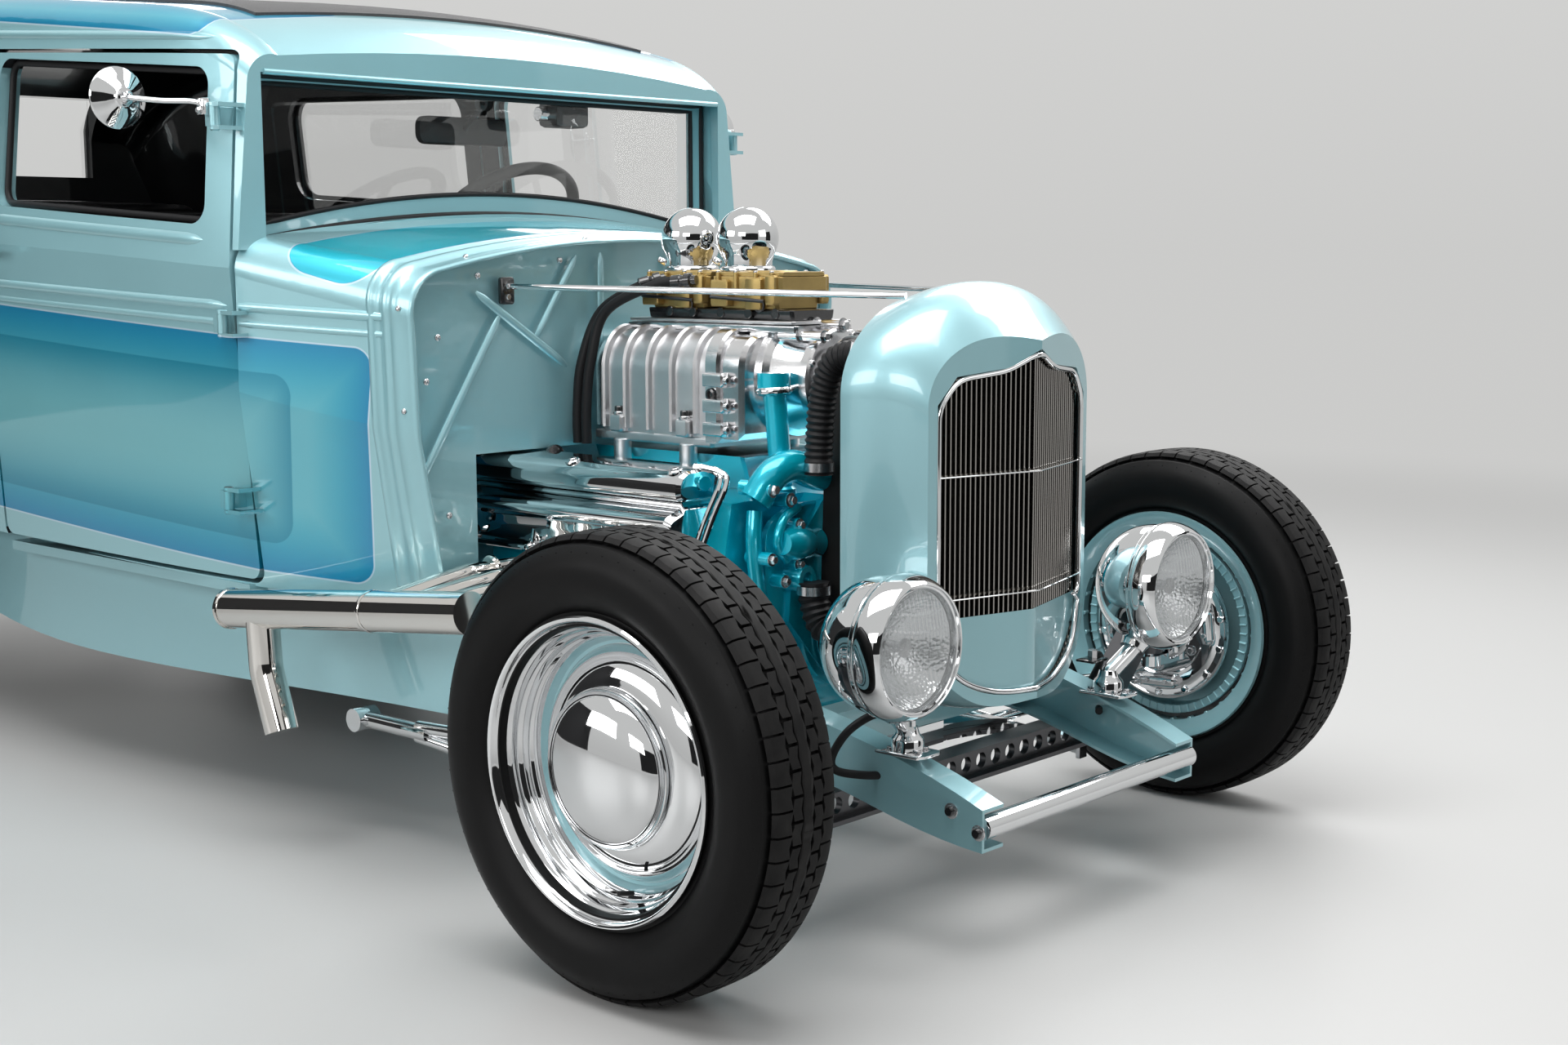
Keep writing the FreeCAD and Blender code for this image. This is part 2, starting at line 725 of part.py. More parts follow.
def blower():
    """The blower: a ribbed case on its manifold, with the front cover and the drive snout."""
    half = s.blower_half
    low = s.blower_foot
    high = s.blower_top
    case = plate("blower_case", "YZ_Plane", [
        (-half, low), (half, low), (half, high - 70), (half - 60, high, 78), (60 - half, high),
        (-half, high - 70, 78),
    ], 250, (-530, 0, 0))
    ribs = []
    for index in range(5):
        x = -640 + index * 48
        ribs.append(block(f"case_rib_{index}", (x, x + 8), (-half - 9, half + 9), (low + 12, high - 66)))
    flange = block("blower_foot", (-668, -396), (-half - 12, half + 12), (low - 14, low + 2))
    cover = block("gear_cover", (-406, -330), (-half - 6, half + 6), (low + 14, high - 16))
    snout = disc("snout", 56, 131.7, (-332, 0, high - 78), "x")
    manifold = block("manifold", (-690, -340), (-96, 96), (s.crank_height + 235.3, low - 12))
    plate_top = block("adapter", (-600, -262), (-70, 70), (high - 4, high + 16))
    node("blower", fuse("blower_form", case, *ribs, flange, cover, snout, manifold, plate_top))
    pulley = disc("top_pulley", 62, 60, (-200, 0, high - 78), "x")
    crank_pulley = disc("crank_pulley", 78, 60, (-200, 0, s.crank_height + 10), "x")
    belt = feature("belt", belt_loop())
    node("blower_drive", fuse("drive_form", pulley, crank_pulley, belt))


def belt_loop():
    """The toothed belt round the blower pulley and the crank pulley."""
    top = float(s.blower_top) - 78
    foot = float(s.crank_height) + 10
    width = 56
    start = -198
    form = None
    for grow, sign in ((7, 1), (-1, -1)):
        upper = Part.makeCylinder(62 + grow, width, Vector(start, 0, top), Vector(1, 0, 0))
        lower = Part.makeCylinder(78 + grow, width, Vector(start, 0, foot), Vector(1, 0, 0))
        corners = [Vector(start, -62 - grow, top), Vector(start, 62 + grow, top),
                   Vector(start, 78 + grow, foot), Vector(start, -78 - grow, foot)]
        web = Part.Face(Part.makePolygon(corners + corners[:1])).extrude(Vector(width, 0, 0))
        solid = upper.fuse([lower, web])
        form = solid if sign > 0 else form.cut(solid)
    return form


def carburettors():
    """Two four-barrel carburettors in line on the adapter plate, and their scoops."""
    base = s.blower_top + 16 + s.seat_gap
    bodies = []
    scoops = []
    for index, x in enumerate((-540, -378)):
        bowl = block(f"carb_bowl_{index}", (x - 78, x + 78), (-58, 58), (base + 18, base + 72))
        foot = block(f"carb_foot_{index}", (x - 62, x + 62), (-50, 50), (base, base + 20))
        horn = disc(f"carb_horn_{index}", 50, 26, (x, 0, base + 70))
        bodies.append(fuse(f"carb_{index}", bowl, foot, horn))
    for index, x in enumerate((-560, -430)):
        low = float(base) + 96.4
        hood = Part.makeSphere(52, Vector(x, 0, low + 38))
        skirt = Part.makeCylinder(46, 40, Vector(x, 0, low))
        mouth = Part.makeBox(60, 70, 44, Vector(x + 18, -35, low + 16))
        hood = hood.fuse(skirt).cut(Part.makeBox(200, 200, 100, Vector(x - 100, -100, low - 100)))
        scoops.append(feature(f"scoop_{index}", hood.cut(mouth)))
    node("carburettors", *bodies)
    node("air_scoops", *scoops)


def exhausts():
    """On each side four short pipes into a chrome collector that ends in a turned-down tip."""
    half = 620
    head_face = 252.3
    collector = bar(Vector(-1046, -half, 391), Vector(-415, -half, 457), 33)
    tip = bent_tube([Vector(-955, -half, 396), Vector(-948, -half, 300), Vector(-910, -half, 200)], 28, 80)
    pieces = [tip]
    for x in (-440, -512, -584, -656):
        z = 457 - (-415 - x) * 66 / 631.0
        pieces.append(bent_tube([Vector(x, -head_face, 465), Vector(x, -430, 465), Vector(x - 12, -half, z)], 19, 90))
    form = feature("exhaust_right", collector.fuse(pieces))
    node("exhausts", *pair("exhaust", form))


def radiator():
    """The radiator inside the shell: core, top tank and the two outlets."""
    core = block("core", (-14, 46), (-212, 212), (420, 770))
    core_foot = block("core_foot", (-30, 46), (-150, 150), (340, 420))
    tank = block("top_tank", (-18, 60), (-160, 160), (768, 862))
    outlet = disc("top_outlet", 21, 50, (-66, -120, 832), "x")
    foot = disc("foot_outlet", 21, 60, (-72, -130, 390), "x")
    mount = block("radiator_mount", (-86, s.shell_back - s.seat_gap), (-140, 140), (292.3, 346))
    node("radiator", fuse("radiator_form", core, core_foot, tank, outlet, foot, mount))


def shell_section(x, half, top, foot):
    """One cross-section of the grille shell: a bowl foot, straight sides and a peaked arch."""
    shoulder = top - (top - foot) * 0.26
    bend = foot + (top - foot) * 0.22
    left = [Vector(x, 0, foot), Vector(x, half * 0.52, foot + 6), Vector(x, half * 0.86, foot + (bend - foot) * 0.42),
            Vector(x, half, bend)]
    right = [Vector(x, -half, bend), Vector(x, -half * 0.86, foot + (bend - foot) * 0.42),
             Vector(x, -half * 0.52, foot + 6), Vector(x, 0, foot)]
    lower = Part.BSplineCurve()
    lower.interpolate(right[:-1] + [Vector(x, 0, foot)] + left[1:])
    upper = Part.BSplineCurve()
    upper.interpolate([Vector(x, half, shoulder), Vector(x, half * 0.93, shoulder + (top - shoulder) * 0.42),
                       Vector(x, half * 0.62, shoulder + (top - shoulder) * 0.82), Vector(x, 0, top),
                       Vector(x, -half * 0.62, shoulder + (top - shoulder) * 0.82),
                       Vector(x, -half * 0.93, shoulder + (top - shoulder) * 0.42), Vector(x, -half, shoulder)])
    edges = [lower.toShape(),
             Part.LineSegment(Vector(x, half, bend), Vector(x, half, shoulder)).toShape(),
             upper.toShape(),
             Part.LineSegment(Vector(x, -half, shoulder), Vector(x, -half, bend)).toShape()]
    return Part.Wire(edges)


def shell_solid(inset):
    """The shell's outer form, or with an inset the hollow inside it."""
    half = float(s.shell_half) - inset
    top = float(s.shell_top) - inset
    foot = float(s.shell_foot) + inset
    back = float(s.shell_back) - (BEYOND if inset else 0)
    reach = float(s.nose_reach)
    stations = ((back, 0, 14, 16), (20, 0, 2, 6), (62, 10, 0, 0), (104, 30, 22, 0), (reach + 30, 62, 92, 16))
    wires = [shell_section(x, half - narrow, top - drop, foot + lift) for x, narrow, drop, lift in stations]
    return Part.makeLoft(wires, True, False)


def vee_prism(reach, slope):
    """Everything behind a nose that is a vee in plan."""
    wide = 400
    corners = [Vector(-200, -wide, 200), Vector(reach - wide * slope, -wide, 200), Vector(reach, 0, 200),
               Vector(reach - wide * slope, wide, 200), Vector(-200, wide, 200)]
    return Part.Face(Part.makePolygon(corners + corners[:1])).extrude(Vector(0, 0, 900))


def grille_outline(inset):
    """The grille opening seen from the front, as a prism along X."""
    half = float(s.grille_half) - inset
    top = float(s.grille_top) - inset
    foot = float(s.grille_foot) + inset
    curve = Part.BSplineCurve()
    curve.interpolate([Vector(0, half, foot + 120), Vector(0, half * 0.84, foot + 42), Vector(0, half * 0.45, foot + 6),
                       Vector(0, 0, foot), Vector(0, -half * 0.45, foot + 6), Vector(0, -half * 0.84, foot + 42),
                       Vector(0, -half, foot + 120)])
    corners = [Vector(0, -half, foot + 120), Vector(0, -half, top - 76), Vector(0, -half + 34, top - 36),
               Vector(0, -60, top - 26), Vector(0, 0, top), Vector(0, 60, top - 26), Vector(0, half - 34, top - 36),
               Vector(0, half, top - 76), Vector(0, half, foot + 120)]
    sides = Part.makePolygon(corners)
    return Part.Face(Part.Wire([curve.toShape()] + sides.Edges)).extrude(Vector(400, 0, 0))


def grille_shell():
    """The painted shell round the grille, open at the back, with its vee front."""
    slope = (float(s.nose_reach) - 118) / float(s.grille_half)
    reach = float(s.nose_reach)
    wall = float(s.shell_wall)
    outer = shell_solid(0).common(vee_prism(reach, slope))
    inner = shell_solid(wall).common(vee_prism(reach - wall * 1.2, slope))
    form = outer.cut(inner).cut(grille_outline(0))
    node("grille_shell", feature("grille_shell_form", form))


def grille():
    """Upright bars behind the vee opening, tied by two cross rods and a rim."""
    slope = (float(s.nose_reach) - 118) / float(s.grille_half)
    reach = float(s.nose_reach) - float(s.shell_wall) * 1.2 - 1
    gap = float(s.seat_gap)
    band = vee_prism(reach, slope).cut(vee_prism(reach - 14, slope))
    window = grille_outline(-5)
    ring = band.common(window).cut(grille_outline(4))
    pitch = float(s.bar_pitch)
    width = float(s.bar_width)
    count = int(float(s.grille_half) / pitch)
    rods = []
    for index in range(-count, count + 1):
        y = index * pitch
        x = reach - abs(y) * slope
        rods.append(Part.makeBox(10, width, 600, Vector(x - 12, y - width / 2, float(s.grille_foot) - 20)))
    bars = Part.Compound(rods).common(window)
    ties = []
    for z in (480, 660):
        for side in (-1, 1):
            start = Vector(reach - 8, 0, z)
            end = Vector(reach - 8 - float(s.grille_half) * slope, float(s.grille_half) * side, z)
            ties.append(bar(start, end, 2.4))
    form = ring.fuse(bars.Solids + ties)
    node("grille", feature("grille_form", form.translated(Vector(-gap, 0, 0))))


def headlamps():
    """Chrome bowl lamps on stands, with domed ribbed lenses."""
    radius = s.lamp_radius
    front = s.lamp_front
    bowl = turned("lamp_bowl", [
        (0, 0), (0, 8), (-14, radius - 4), (-14, radius + 5), (-34, radius + 8), (-48, radius - 2),
        (-110, radius - 34, 130), (-s.lamp_length, 8, 84), (-s.lamp_length, 0),
    ], (front, s.lamp_half, s.lamp_height), "XZ_Plane")
    hollow = turned("lamp_hollow", [(10, 0), (10, radius - 6), (-20, radius - 6), (-20, 0)],
                    (front, s.lamp_half, s.lamp_height), "XZ_Plane")
    stem = feature("lamp_stem", bar(Vector(150, 335, 356), Vector(126, 278, 284), 13))
    foot = disc("lamp_foot", 20, 16, (126, 264, 272))
    bowl_form = cut("bowl_form", bowl, hollow)
    lamp = fuse("lamp_form", bowl_form, stem, foot)
    node("headlamps", *pair("lamp", lamp))
    rim_radius = radius - 6.4
    lens = turned("lens", [(-19.6, 0), (-19.6, rim_radius), (-6, rim_radius), (14, 0, -230)],
                  (front, s.lamp_half, s.lamp_height), "XZ_Plane")
    node("headlamp_lenses", *pair("lens", lens))


def body_section(x, foot_half, foot, belt_half, belt, top_half, shoulder, crown):
    """One cross-section of the body: flat foot, sides that lean in above the belt, arched top."""
    corner_half = top_half - 62
    corner_top = crown - (crown - shoulder) * 0.36
    bend = Vector(x, -top_half + 12, shoulder + (corner_top - shoulder) * 0.66)
    right = [Vector(x, -foot_half, foot), Vector(x, -belt_half, belt), Vector(x, -top_half, shoulder)]
    left = [Vector(x, foot_half, foot), Vector(x, belt_half, belt), Vector(x, top_half, shoulder)]
    edges = [
        Part.LineSegment(right[0], right[1]).toShape(),
        Part.LineSegment(right[1], right[2]).toShape(),
        Part.Arc(right[2], bend, Vector(x, -corner_half, corner_top)).toShape(),
        Part.Arc(Vector(x, -corner_half, corner_top), Vector(x, 0, crown), Vector(x, corner_half, corner_top)).toShape(),
        Part.Arc(Vector(x, corner_half, corner_top), Vector(x, -bend.y, bend.z), left[2]).toShape(),
        Part.LineSegment(left[2], left[1]).toShape(),
        Part.LineSegment(left[1], left[0]).toShape(),
        Part.LineSegment(left[0], right[0]).toShape(),
    ]
    return Part.Wire(edges)


# Cowl stations: x, half width at the foot, foot, half width at the belt, belt, top half width, shoulder, crown.
def cowl_solid(inset, back):
    fire = float(s.firewall)
    rows = (
        (fire, 462, 416, 510, 700, 516, 880, 1012),
        (fire - 110, 502, 418, 545, 720, 548, 906, 1026),
        (fire - 230, 545, 421, 580, 740, 580, 930, 1040),
        (float(back), 575, 424, 606, 760, 600, 950, 1052),
    )
    wires = []
    for x, foot_half, foot, belt_half, belt, top_half, shoulder, crown in rows:
        drop = BEYOND if inset else 0
        wires.append(body_section(x, foot_half - inset, foot - drop, belt_half - inset, belt,
                                  top_half - inset, shoulder - inset * 0.6, crown - inset))
    return Part.makeLoft(wires, True, False)


def cabin_solid(side_inset, top_inset, back_inset):
    """The closed body from the windscreen back, or with insets the cabin inside it."""
    front = float(s.door_front) + 30
    back = float(s.body_back) + back_inset
    rows = (
        (front, 573, 424, 603, 960, 572, 1262, 1337),
        (front - 46, 578, 425, 607, 962, 578, 1290, 1374),
        (front - 110, 585, 427, 612, 966, 585, 1318, 1404),
        (front - 385, 603, 434, 632, 984, 600, 1370, 1452),
        (front - 785, 615, 448, 645, 1006, 606, 1404, 1494),
        (front - 1185, 615, 462, 645, 1030, 606, 1424, 1512),
        (front - 1585, 606, 478, 636, 1054, 596, 1424, 1506),
        (front - 1885, 590, 492, 620, 1070, 574, 1400, 1474),
        (back + 60, 566, 504, 596, 1080, 540, 1330, 1404),
        (back, 540, 508, 566, 1086, 500, 1250, 1320),
    )
    wires = []
    for x, foot_half, foot, belt_half, belt, top_half, shoulder, crown in rows:
        drop = BEYOND * 4 if side_inset else 0
        wires.append(body_section(x, foot_half - side_inset, foot - drop, belt_half - side_inset, belt,
                                  top_half - side_inset, shoulder - top_inset, crown - top_inset))
    return Part.makeLoft(wires, True, False)


def side_prism(corners, radius):
    """A rounded side view, pushed right through the car."""
    spots = [Vector(x, -900, z) for x, z in corners]
    face = Part.Face(Part.makePolygon(spots + spots[:1]))
    solid = face.extrude(Vector(0, 1800, 0))
    edges = [edge for edge in solid.Edges if abs(edge.tangentAt(edge.FirstParameter).y) > 0.99]
    return solid.makeFillet(radius, edges)


def door_outline(grow):
    """The door's side view, grown by the gap round it."""
    front = float(s.door_front) + grow
    back = float(s.door_back) - grow
    foot = float(s.door_foot) - grow
    return side_prism(((front + 22, foot), (front, 1310 + grow), (back, 1358 + grow), (back, foot + 14)), 22)


def door_window():
    front = float(s.door_front) - 60
    back = float(s.door_back) + 60
    return side_prism(((front, 1032), (front, 1292), (back, 1344), (back, 1074)), 34)


def quarter_window():
    return side_prism(((-1872, 1082), (-1872, 1352), (-2550, 1372), (-2550, 1120)), 60)


def wheel_arch(radius, near):
    """A cylinder across one side of the car at the rear wheel."""
    hub = float(s.rear_tyre_radius)
    start = Vector(-float(s.wheelbase), near, hub)
    return Part.makeCylinder(radius, 400, start, Vector(0, 1, 0))


def both_sides(form):
    """A form and its mirror image across the car."""
    return [form, form.mirror(Vector(0, 0, 0), Vector(0, 1, 0))]


def screen_opening():
    """The windscreen opening: flat top, bowed foot."""
    foot = Part.Arc(Vector(-1200, -545, 1003), Vector(-1200, 0, 1055), Vector(-1200, 545, 1003)).toShape()
    top = Part.makePolygon([Vector(-1200, 545, 1003), Vector(-1200, 545, 1281), Vector(-1200, -545, 1281),
                            Vector(-1200, -545, 1003)])
    return Part.Face(Part.Wire([foot] + top.Edges)).extrude(Vector(400, 0, 0))


def hinge_leaves(z, sign, reach):
    """The body's half of a door hinge: two short barrels on straps, above and below the door's barrel."""
    x = float(s.door_front) + 4
    y = float(s.hinge_out) * sign
    pieces = []
    for low in (z - 22, z + 15 + float(s.seat_gap)):
        height = 7 - float(s.seat_gap)
        pieces.append(Part.makeCylinder(7, height, Vector(x, y, low)))
        pieces.append(Part.makeBox(reach, 15, height, Vector(x, y - (8 if sign > 0 else 7), low)))
        pieces.append(Part.makeBox(13, 55, height, Vector(x + reach - 13, y - (55 if sign > 0 else 0), low)))
    return pieces


def body():
    """Cowl with firewall, cabin shell, doors, roof insert and windscreen."""
    low_hinges = []
    high_hinges = []
    for sign in (-1, 1):
        low_hinges += hinge_leaves(575, sign, 39) + hinge_leaves(869, sign, 39)
        high_hinges += hinge_leaves(1207, sign, 22)
    wall = float(s.wall)
    join = float(s.door_front) + 7
    cowl_outer = cowl_solid(0, join)
    cowl_inner = cowl_solid(wall - 10, join)
    fire = float(s.firewall)
    behind = Part.makeBox(800, 1400, 1200, Vector(fire - 12 - 800, -700, 300))
    cowl = cowl_outer.cut(cowl_inner.common(behind))
    depth = fire - float(s.engine_back) + 44
    pocket = Part.makeBox(depth, 732, 246, Vector(fire - depth, -366, 414))
    hollow = Part.makeBox(depth + 20, 720, 250, Vector(fire - depth + 6, -360, 404))
    lower = Part.makeBox(400, 300, 40, Vector(fire - depth - 100, -150, 404))
    cowl = cowl.fuse(pocket).cut([hollow, lower, door_outline(float(s.door_gap))])
    bell_way = Part.makeCylinder(156, 100, Vector(fire - depth - 50, 0, float(s.crank_height) + 4), Vector(1, 0, 0))
    node("cowl", feature("cowl_form", cowl.cut(bell_way).fuse(low_hinges)))

    outer = cabin_solid(0, 0, 0)
    whole_inner = cabin_solid(wall, float(s.roof_wall), wall)
    cavity_front = float(s.screen_x) - 14
    inner = whole_inner.common(Part.makeBox(3000, 1400, 1500, Vector(cavity_front - 3000, -700, 200)))
    shell = outer.cut(inner)
    low_front = Part.makeBox(300, 1400, 900, Vector(join, -700, 200))
    low_front = low_front.cut(Part.makeBox(300, 1400, 900, Vector(join, -700, 990)))
    passage = Part.makeBox(200, 1060, 600, Vector(cavity_front - 20, -530, 380))
    middle = Part.makeBox(2000, 1050, 1500, Vector(-2500, -525, 980))
    door_ways = door_outline(float(s.door_gap)).cut(middle)
    shell = shell.cut([low_front, cowl_outer, screen_opening(), passage, door_ways])
    shell = shell.cut(quarter_window())
    back_glass = Part.makeBox(400, 680, 200, Vector(float(s.body_back) - 100, -340, 1180))
    notch = Part.makeBox(200, 1000, 130, Vector(float(s.body_back) - 100, -500, 420))
    shell = shell.cut([back_glass, notch])
    arch = wheel_arch(398, 540)
    tub = wheel_arch(404, 558).cut(wheel_arch(398, 563))
    tub = tub.common(Part.makeBox(900, 80, 700, Vector(-float(s.wheelbase) - 450, 540, 505)))
    shell = shell.cut(both_sides(arch)).fuse(both_sides(tub))
    sill = Part.makeBox(1850 + join, 36, 18, Vector(-1850, 551.1, 410))
    shell = shell.fuse(both_sides(sill) + high_hinges)
    node("body_shell", feature("body_form", shell))

    rebate = Part.makeBox(90, 1104, 1000, Vector(-1100, -552, 900))
    door = outer.cut(whole_inner).common(door_outline(0)).cut([door_window(), rebate])
    for name, sign in (("right", -1), ("left", 1)):
        low = -700 if sign < 0 else 0
        half = Part.makeBox(3000, 700, 1500, Vector(-3500, low, 200))
        one = door.common(half)
        pins = []
        for z in (575, 869, 1207):
            hinge = Vector(float(s.door_front) + 4, float(s.hinge_out) * sign, z - 15)
            pins.append(Part.makeCylinder(7, 30, hinge))
            low_y = float(s.hinge_out) * sign - (40 if sign > 0 else 0)
            pins.append(Part.makeBox(26, 40, 30, Vector(float(s.door_front) - 24, low_y, z - 15)))
        handle = Part.makeBox(90, 14, 12, Vector(-1790, (668 if sign > 0 else -682), 985))
        stem = Part.makeBox(14, 60, 12, Vector(-1790, (615 if sign > 0 else -675), 985))
        node("door_" + name, feature("door_form_" + name, one.fuse(pins + [handle, stem])))

    skin = cabin_solid(0, -5, 0).cut(outer)
    patch = Part.makeBox(1640, 920, 400, Vector(-2790, -460, 1350))
    node("roof_insert", feature("roof_insert_form", skin.common(patch)))


def glazing():
    """The windscreen frame, and the fixed glass of the car."""
    x = float(s.screen_x)
    thick = float(s.glass)
    gap = float(s.seat_gap)
    slab = Part.makeBox(14, 1400, 600, Vector(x - 7, -700, 900))
    outer = screen_opening().common(slab)
    hole = outer.copy()
    inner_foot = Part.Arc(Vector(-1200, -516, 1034), Vector(-1200, 0, 1092), Vector(-1200, 516, 1034)).toShape()
    inner_top = Part.makePolygon([Vector(-1200, 516, 1034), Vector(-1200, 516, 1268), Vector(-1200, -516, 1268),
                                  Vector(-1200, -516, 1034)])
    hole = Part.Face(Part.Wire([inner_foot] + inner_top.Edges)).extrude(Vector(400, 0, 0))
    node("windscreen_frame", feature("screen_frame_form", outer.cut(hole)))
    pane = hole.common(Part.makeBox(thick, 1400, 600, Vector(x - thick / 2, -700, 900)))
    quarter = quarter_window()
    skin = cabin_solid(14, 10, 14).cut(cabin_solid(14 + thick, 10, 14)).common(quarter)
    rear = Part.makeBox(thick, 680, 200, Vector(float(s.body_back) + 22, -340, 1180))
    node("window_glass", feature("panes_form", Part.Compound([pane] + skin.Solids + [rear])))


def interior():
    """Floor, dashboard, seats and the steering column."""
    floor_low = 424.3
    front_floor = block("floor_front", (-2178, -1000), (-485, 485), (floor_low, floor_low + 8))
    rise = block("floor_rise", (-2178, -2170), (-485, 485), (floor_low, 640))
    back_floor = block("floor_back", (-3090, -2178), (-485, 485), (632, 640))
    toe = plate("toe_board", "XZ_Plane", [
        (-1002, floor_low), (-856, 560), (-856, 572), (-1002, floor_low + 8),
    ], 860, (0, 0, 0))
    tunnel = plate("tunnel", "YZ_Plane", [
        (-180, floor_low + 1), (180, floor_low + 1), (140, 545), (-140, 545),
    ], 634, (-1173, 0, 0))
    hollow = plate("tunnel_hollow", "YZ_Plane", [
        (-172, floor_low - 20), (172, floor_low - 20), (134, 538), (-134, 538),
    ], 640, (-1164, 0, 0))
    solid = fuse("floor_solid", front_floor, rise, back_floor, toe, tunnel)
    column_way = feature("column_way", bar(Vector(-830, 310, 430), Vector(-1110, 310, 710), 30))
    node("floor", cut("floor_form", solid, hollow, column_way))
    dash = block("dash_panel", (-1150, -1120), (-530, 530), (880, 1010))
    pods = []
    for index, y in enumerate((190, 310, 430)):
        pods.append(disc(f"gauge_{index}", 44, 12, (-1160, y, 950), "x"))
    shelf = block("dash_top", (-1125, s.screen_x - 14 - s.seat_gap), (-515, 515), (984, 1000))
    node("dashboard", fuse("dash_form", dash, shelf, *pods))

    cushion = block("front_cushion", (-2050, -1560), (-505, 505), (560, 700))
    cushion_foot = block("front_seat_base", (-2040, -1580), (-495, 495), (floor_low + 8.3, 560))
    squab = plate("front_squab", "XZ_Plane", [
        (-1990, 690), (-2120, 690), (-2230, 1080), (-2130, 1080),
    ], 1010, (0, 0, 0))
    rear_cushion = block("rear_cushion", (-2860, -2420), (-480, 480), (640.3, 800))
    rear_squab = plate("rear_squab", "XZ_Plane", [
        (-2800, 795), (-2920, 795), (-3010, 1120), (-2920, 1120),
    ], 960, (0, 0, 0))
    node("seats", fuse("front_seat", cushion, cushion_foot, squab), fuse("rear_seat", rear_cushion, rear_squab))

    wheel_at = Vector(-1430, 310, 1030)
    foot = Vector(-882, 310, 482)
    way = (wheel_at - foot).normalize()
    column = bar(foot, wheel_at - way * 34, 20)
    box = Part.makeBox(53, 70, 110, Vector(-915, 285, 370))
    bracket = Part.makeBox(40, 120, 30, Vector(-908, 353, 376))
    hollow = rail_form(number(s.rail_wall + s.seat_gap))
    near = bracket.common(Part.makeBox(60, 40, 60, Vector(-918, 353, 360)))
    node("steering_column", feature("column_form", column.fuse([box, near, bracket.common(hollow)])))
    lean = Rotation(Vector(0, 0, 1), way)
    ring = torus("wheel_ring", 178, 13, wheel_at, lean)
    hub = feature("wheel_hub", Part.makeCylinder(32, 50, wheel_at - way * 33.7, way))
    spokes = []
    for index in range(3):
        turn = Rotation(way, 90 + 120 * index)
        arm = turn.multVec(lean.multVec(Vector(1, 0, 0)))
        spokes.append(feature(f"spoke_{index}", bar(wheel_at, wheel_at + arm * 172, 8)))
    node("steering_wheel", fuse("steering_wheel_form", ring, hub, *spokes))


def fittings():
    """Hoses, stay rods, mirrors, fuel tank and tail lamps."""
    upper = bent_tube([Vector(-168, -120, 640), Vector(-140, -120, 832), Vector(-66.3, -120, 832)], 22, 60)
    lower = bent_tube([Vector(-170, -130, 470), Vector(-160, -130, 390), Vector(-72.3, -130, 390)], 24, 50)
    hoses = [feature("upper_hose", upper), feature("lower_hose", lower)]
    for index, x in enumerate((-650, -628)):
        route = [Vector(-623.4, -30 - index * 22, 930), Vector(x - 20, -60, 920), Vector(x - 36, -140, 860),
                 Vector(x - 40, -150, 660)]
        hoses.append(feature(f"fuel_hose_{index}", bent_tube(route, 9, 60)))
    node("hoses", *hoses)

    stay = feature("stay_right", bar(Vector(-709, -300, 930), Vector(20, -140, 921), 5))
    node("stay_rods", *pair("stay", stay))

    for name, sign in (("right", -1), ("left", 1)):
        centre = Vector(-1167, 713 * sign, 1238)
        head = Part.makeCone(14, 51, 26, centre + Vector(16, 0, 0), Vector(-1, 0, 0))
        arm = bar(Vector(-1062, 628 * sign, 1226), centre + Vector(6, 0, 0), 5)
        low_y = 618.3 * sign - (16 if sign < 0 else 0)
        foot = Part.makeBox(24, 16, 30, Vector(-1072, low_y, 1208))
        node("mirror_" + name, feature("mirror_form_" + name, head.fuse([arm, foot])))

    tank_back = s.seat_gap - s.wheelbase - s.rear_overhang + 47
    node("fuel_tank", block("tank", (tank_back, tank_back + 232.7), (-380, 380), (392, 545)))
    lamp = turned("tail_lamp", [(0, 0), (0, 38), (-30, 34), (-44, 6, 60), (-44, 0)],
                  (s.body_back - s.seat_gap, 470, 690), "XZ_Plane")
    node("tail_lamps", *pair("tail_lamp", lamp))


def check(document):
    """Stop if anything failed to build."""
    for item in document.Objects:
        if any(word in item.State for word in ("Invalid", "Error")):
            raise RuntimeError(f"{item.Label} failed to build")
    for item in nodes:
        if item.Shape.isNull() or not item.Shape.isValid():
            raise RuntimeError(f"{item.Label} has no valid shape")


wheels()
frame()
front_axle()
knuckles()
tie_rod()
front_suspension()
rear_axle()
engine()
valve_covers()
blower()
carburettors()
exhausts()
radiator()
grille_shell()
grille()
headlamps()
body()
glazing()
interior()
fittings()

doc.recompute()
check(doc)
os.makedirs("parts", exist_ok=True)
for sub_part in nodes:
    sub_part.Shape.exportStep(f"parts/{sub_part.Label}.step")
print(len(nodes), "sub-parts written")
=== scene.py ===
"""Looks of the street rod sedan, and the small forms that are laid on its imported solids."""
import math

import bmesh
import bpy
from mathutils import Matrix, Vector
from mathutils.bvhtree import BVHTree


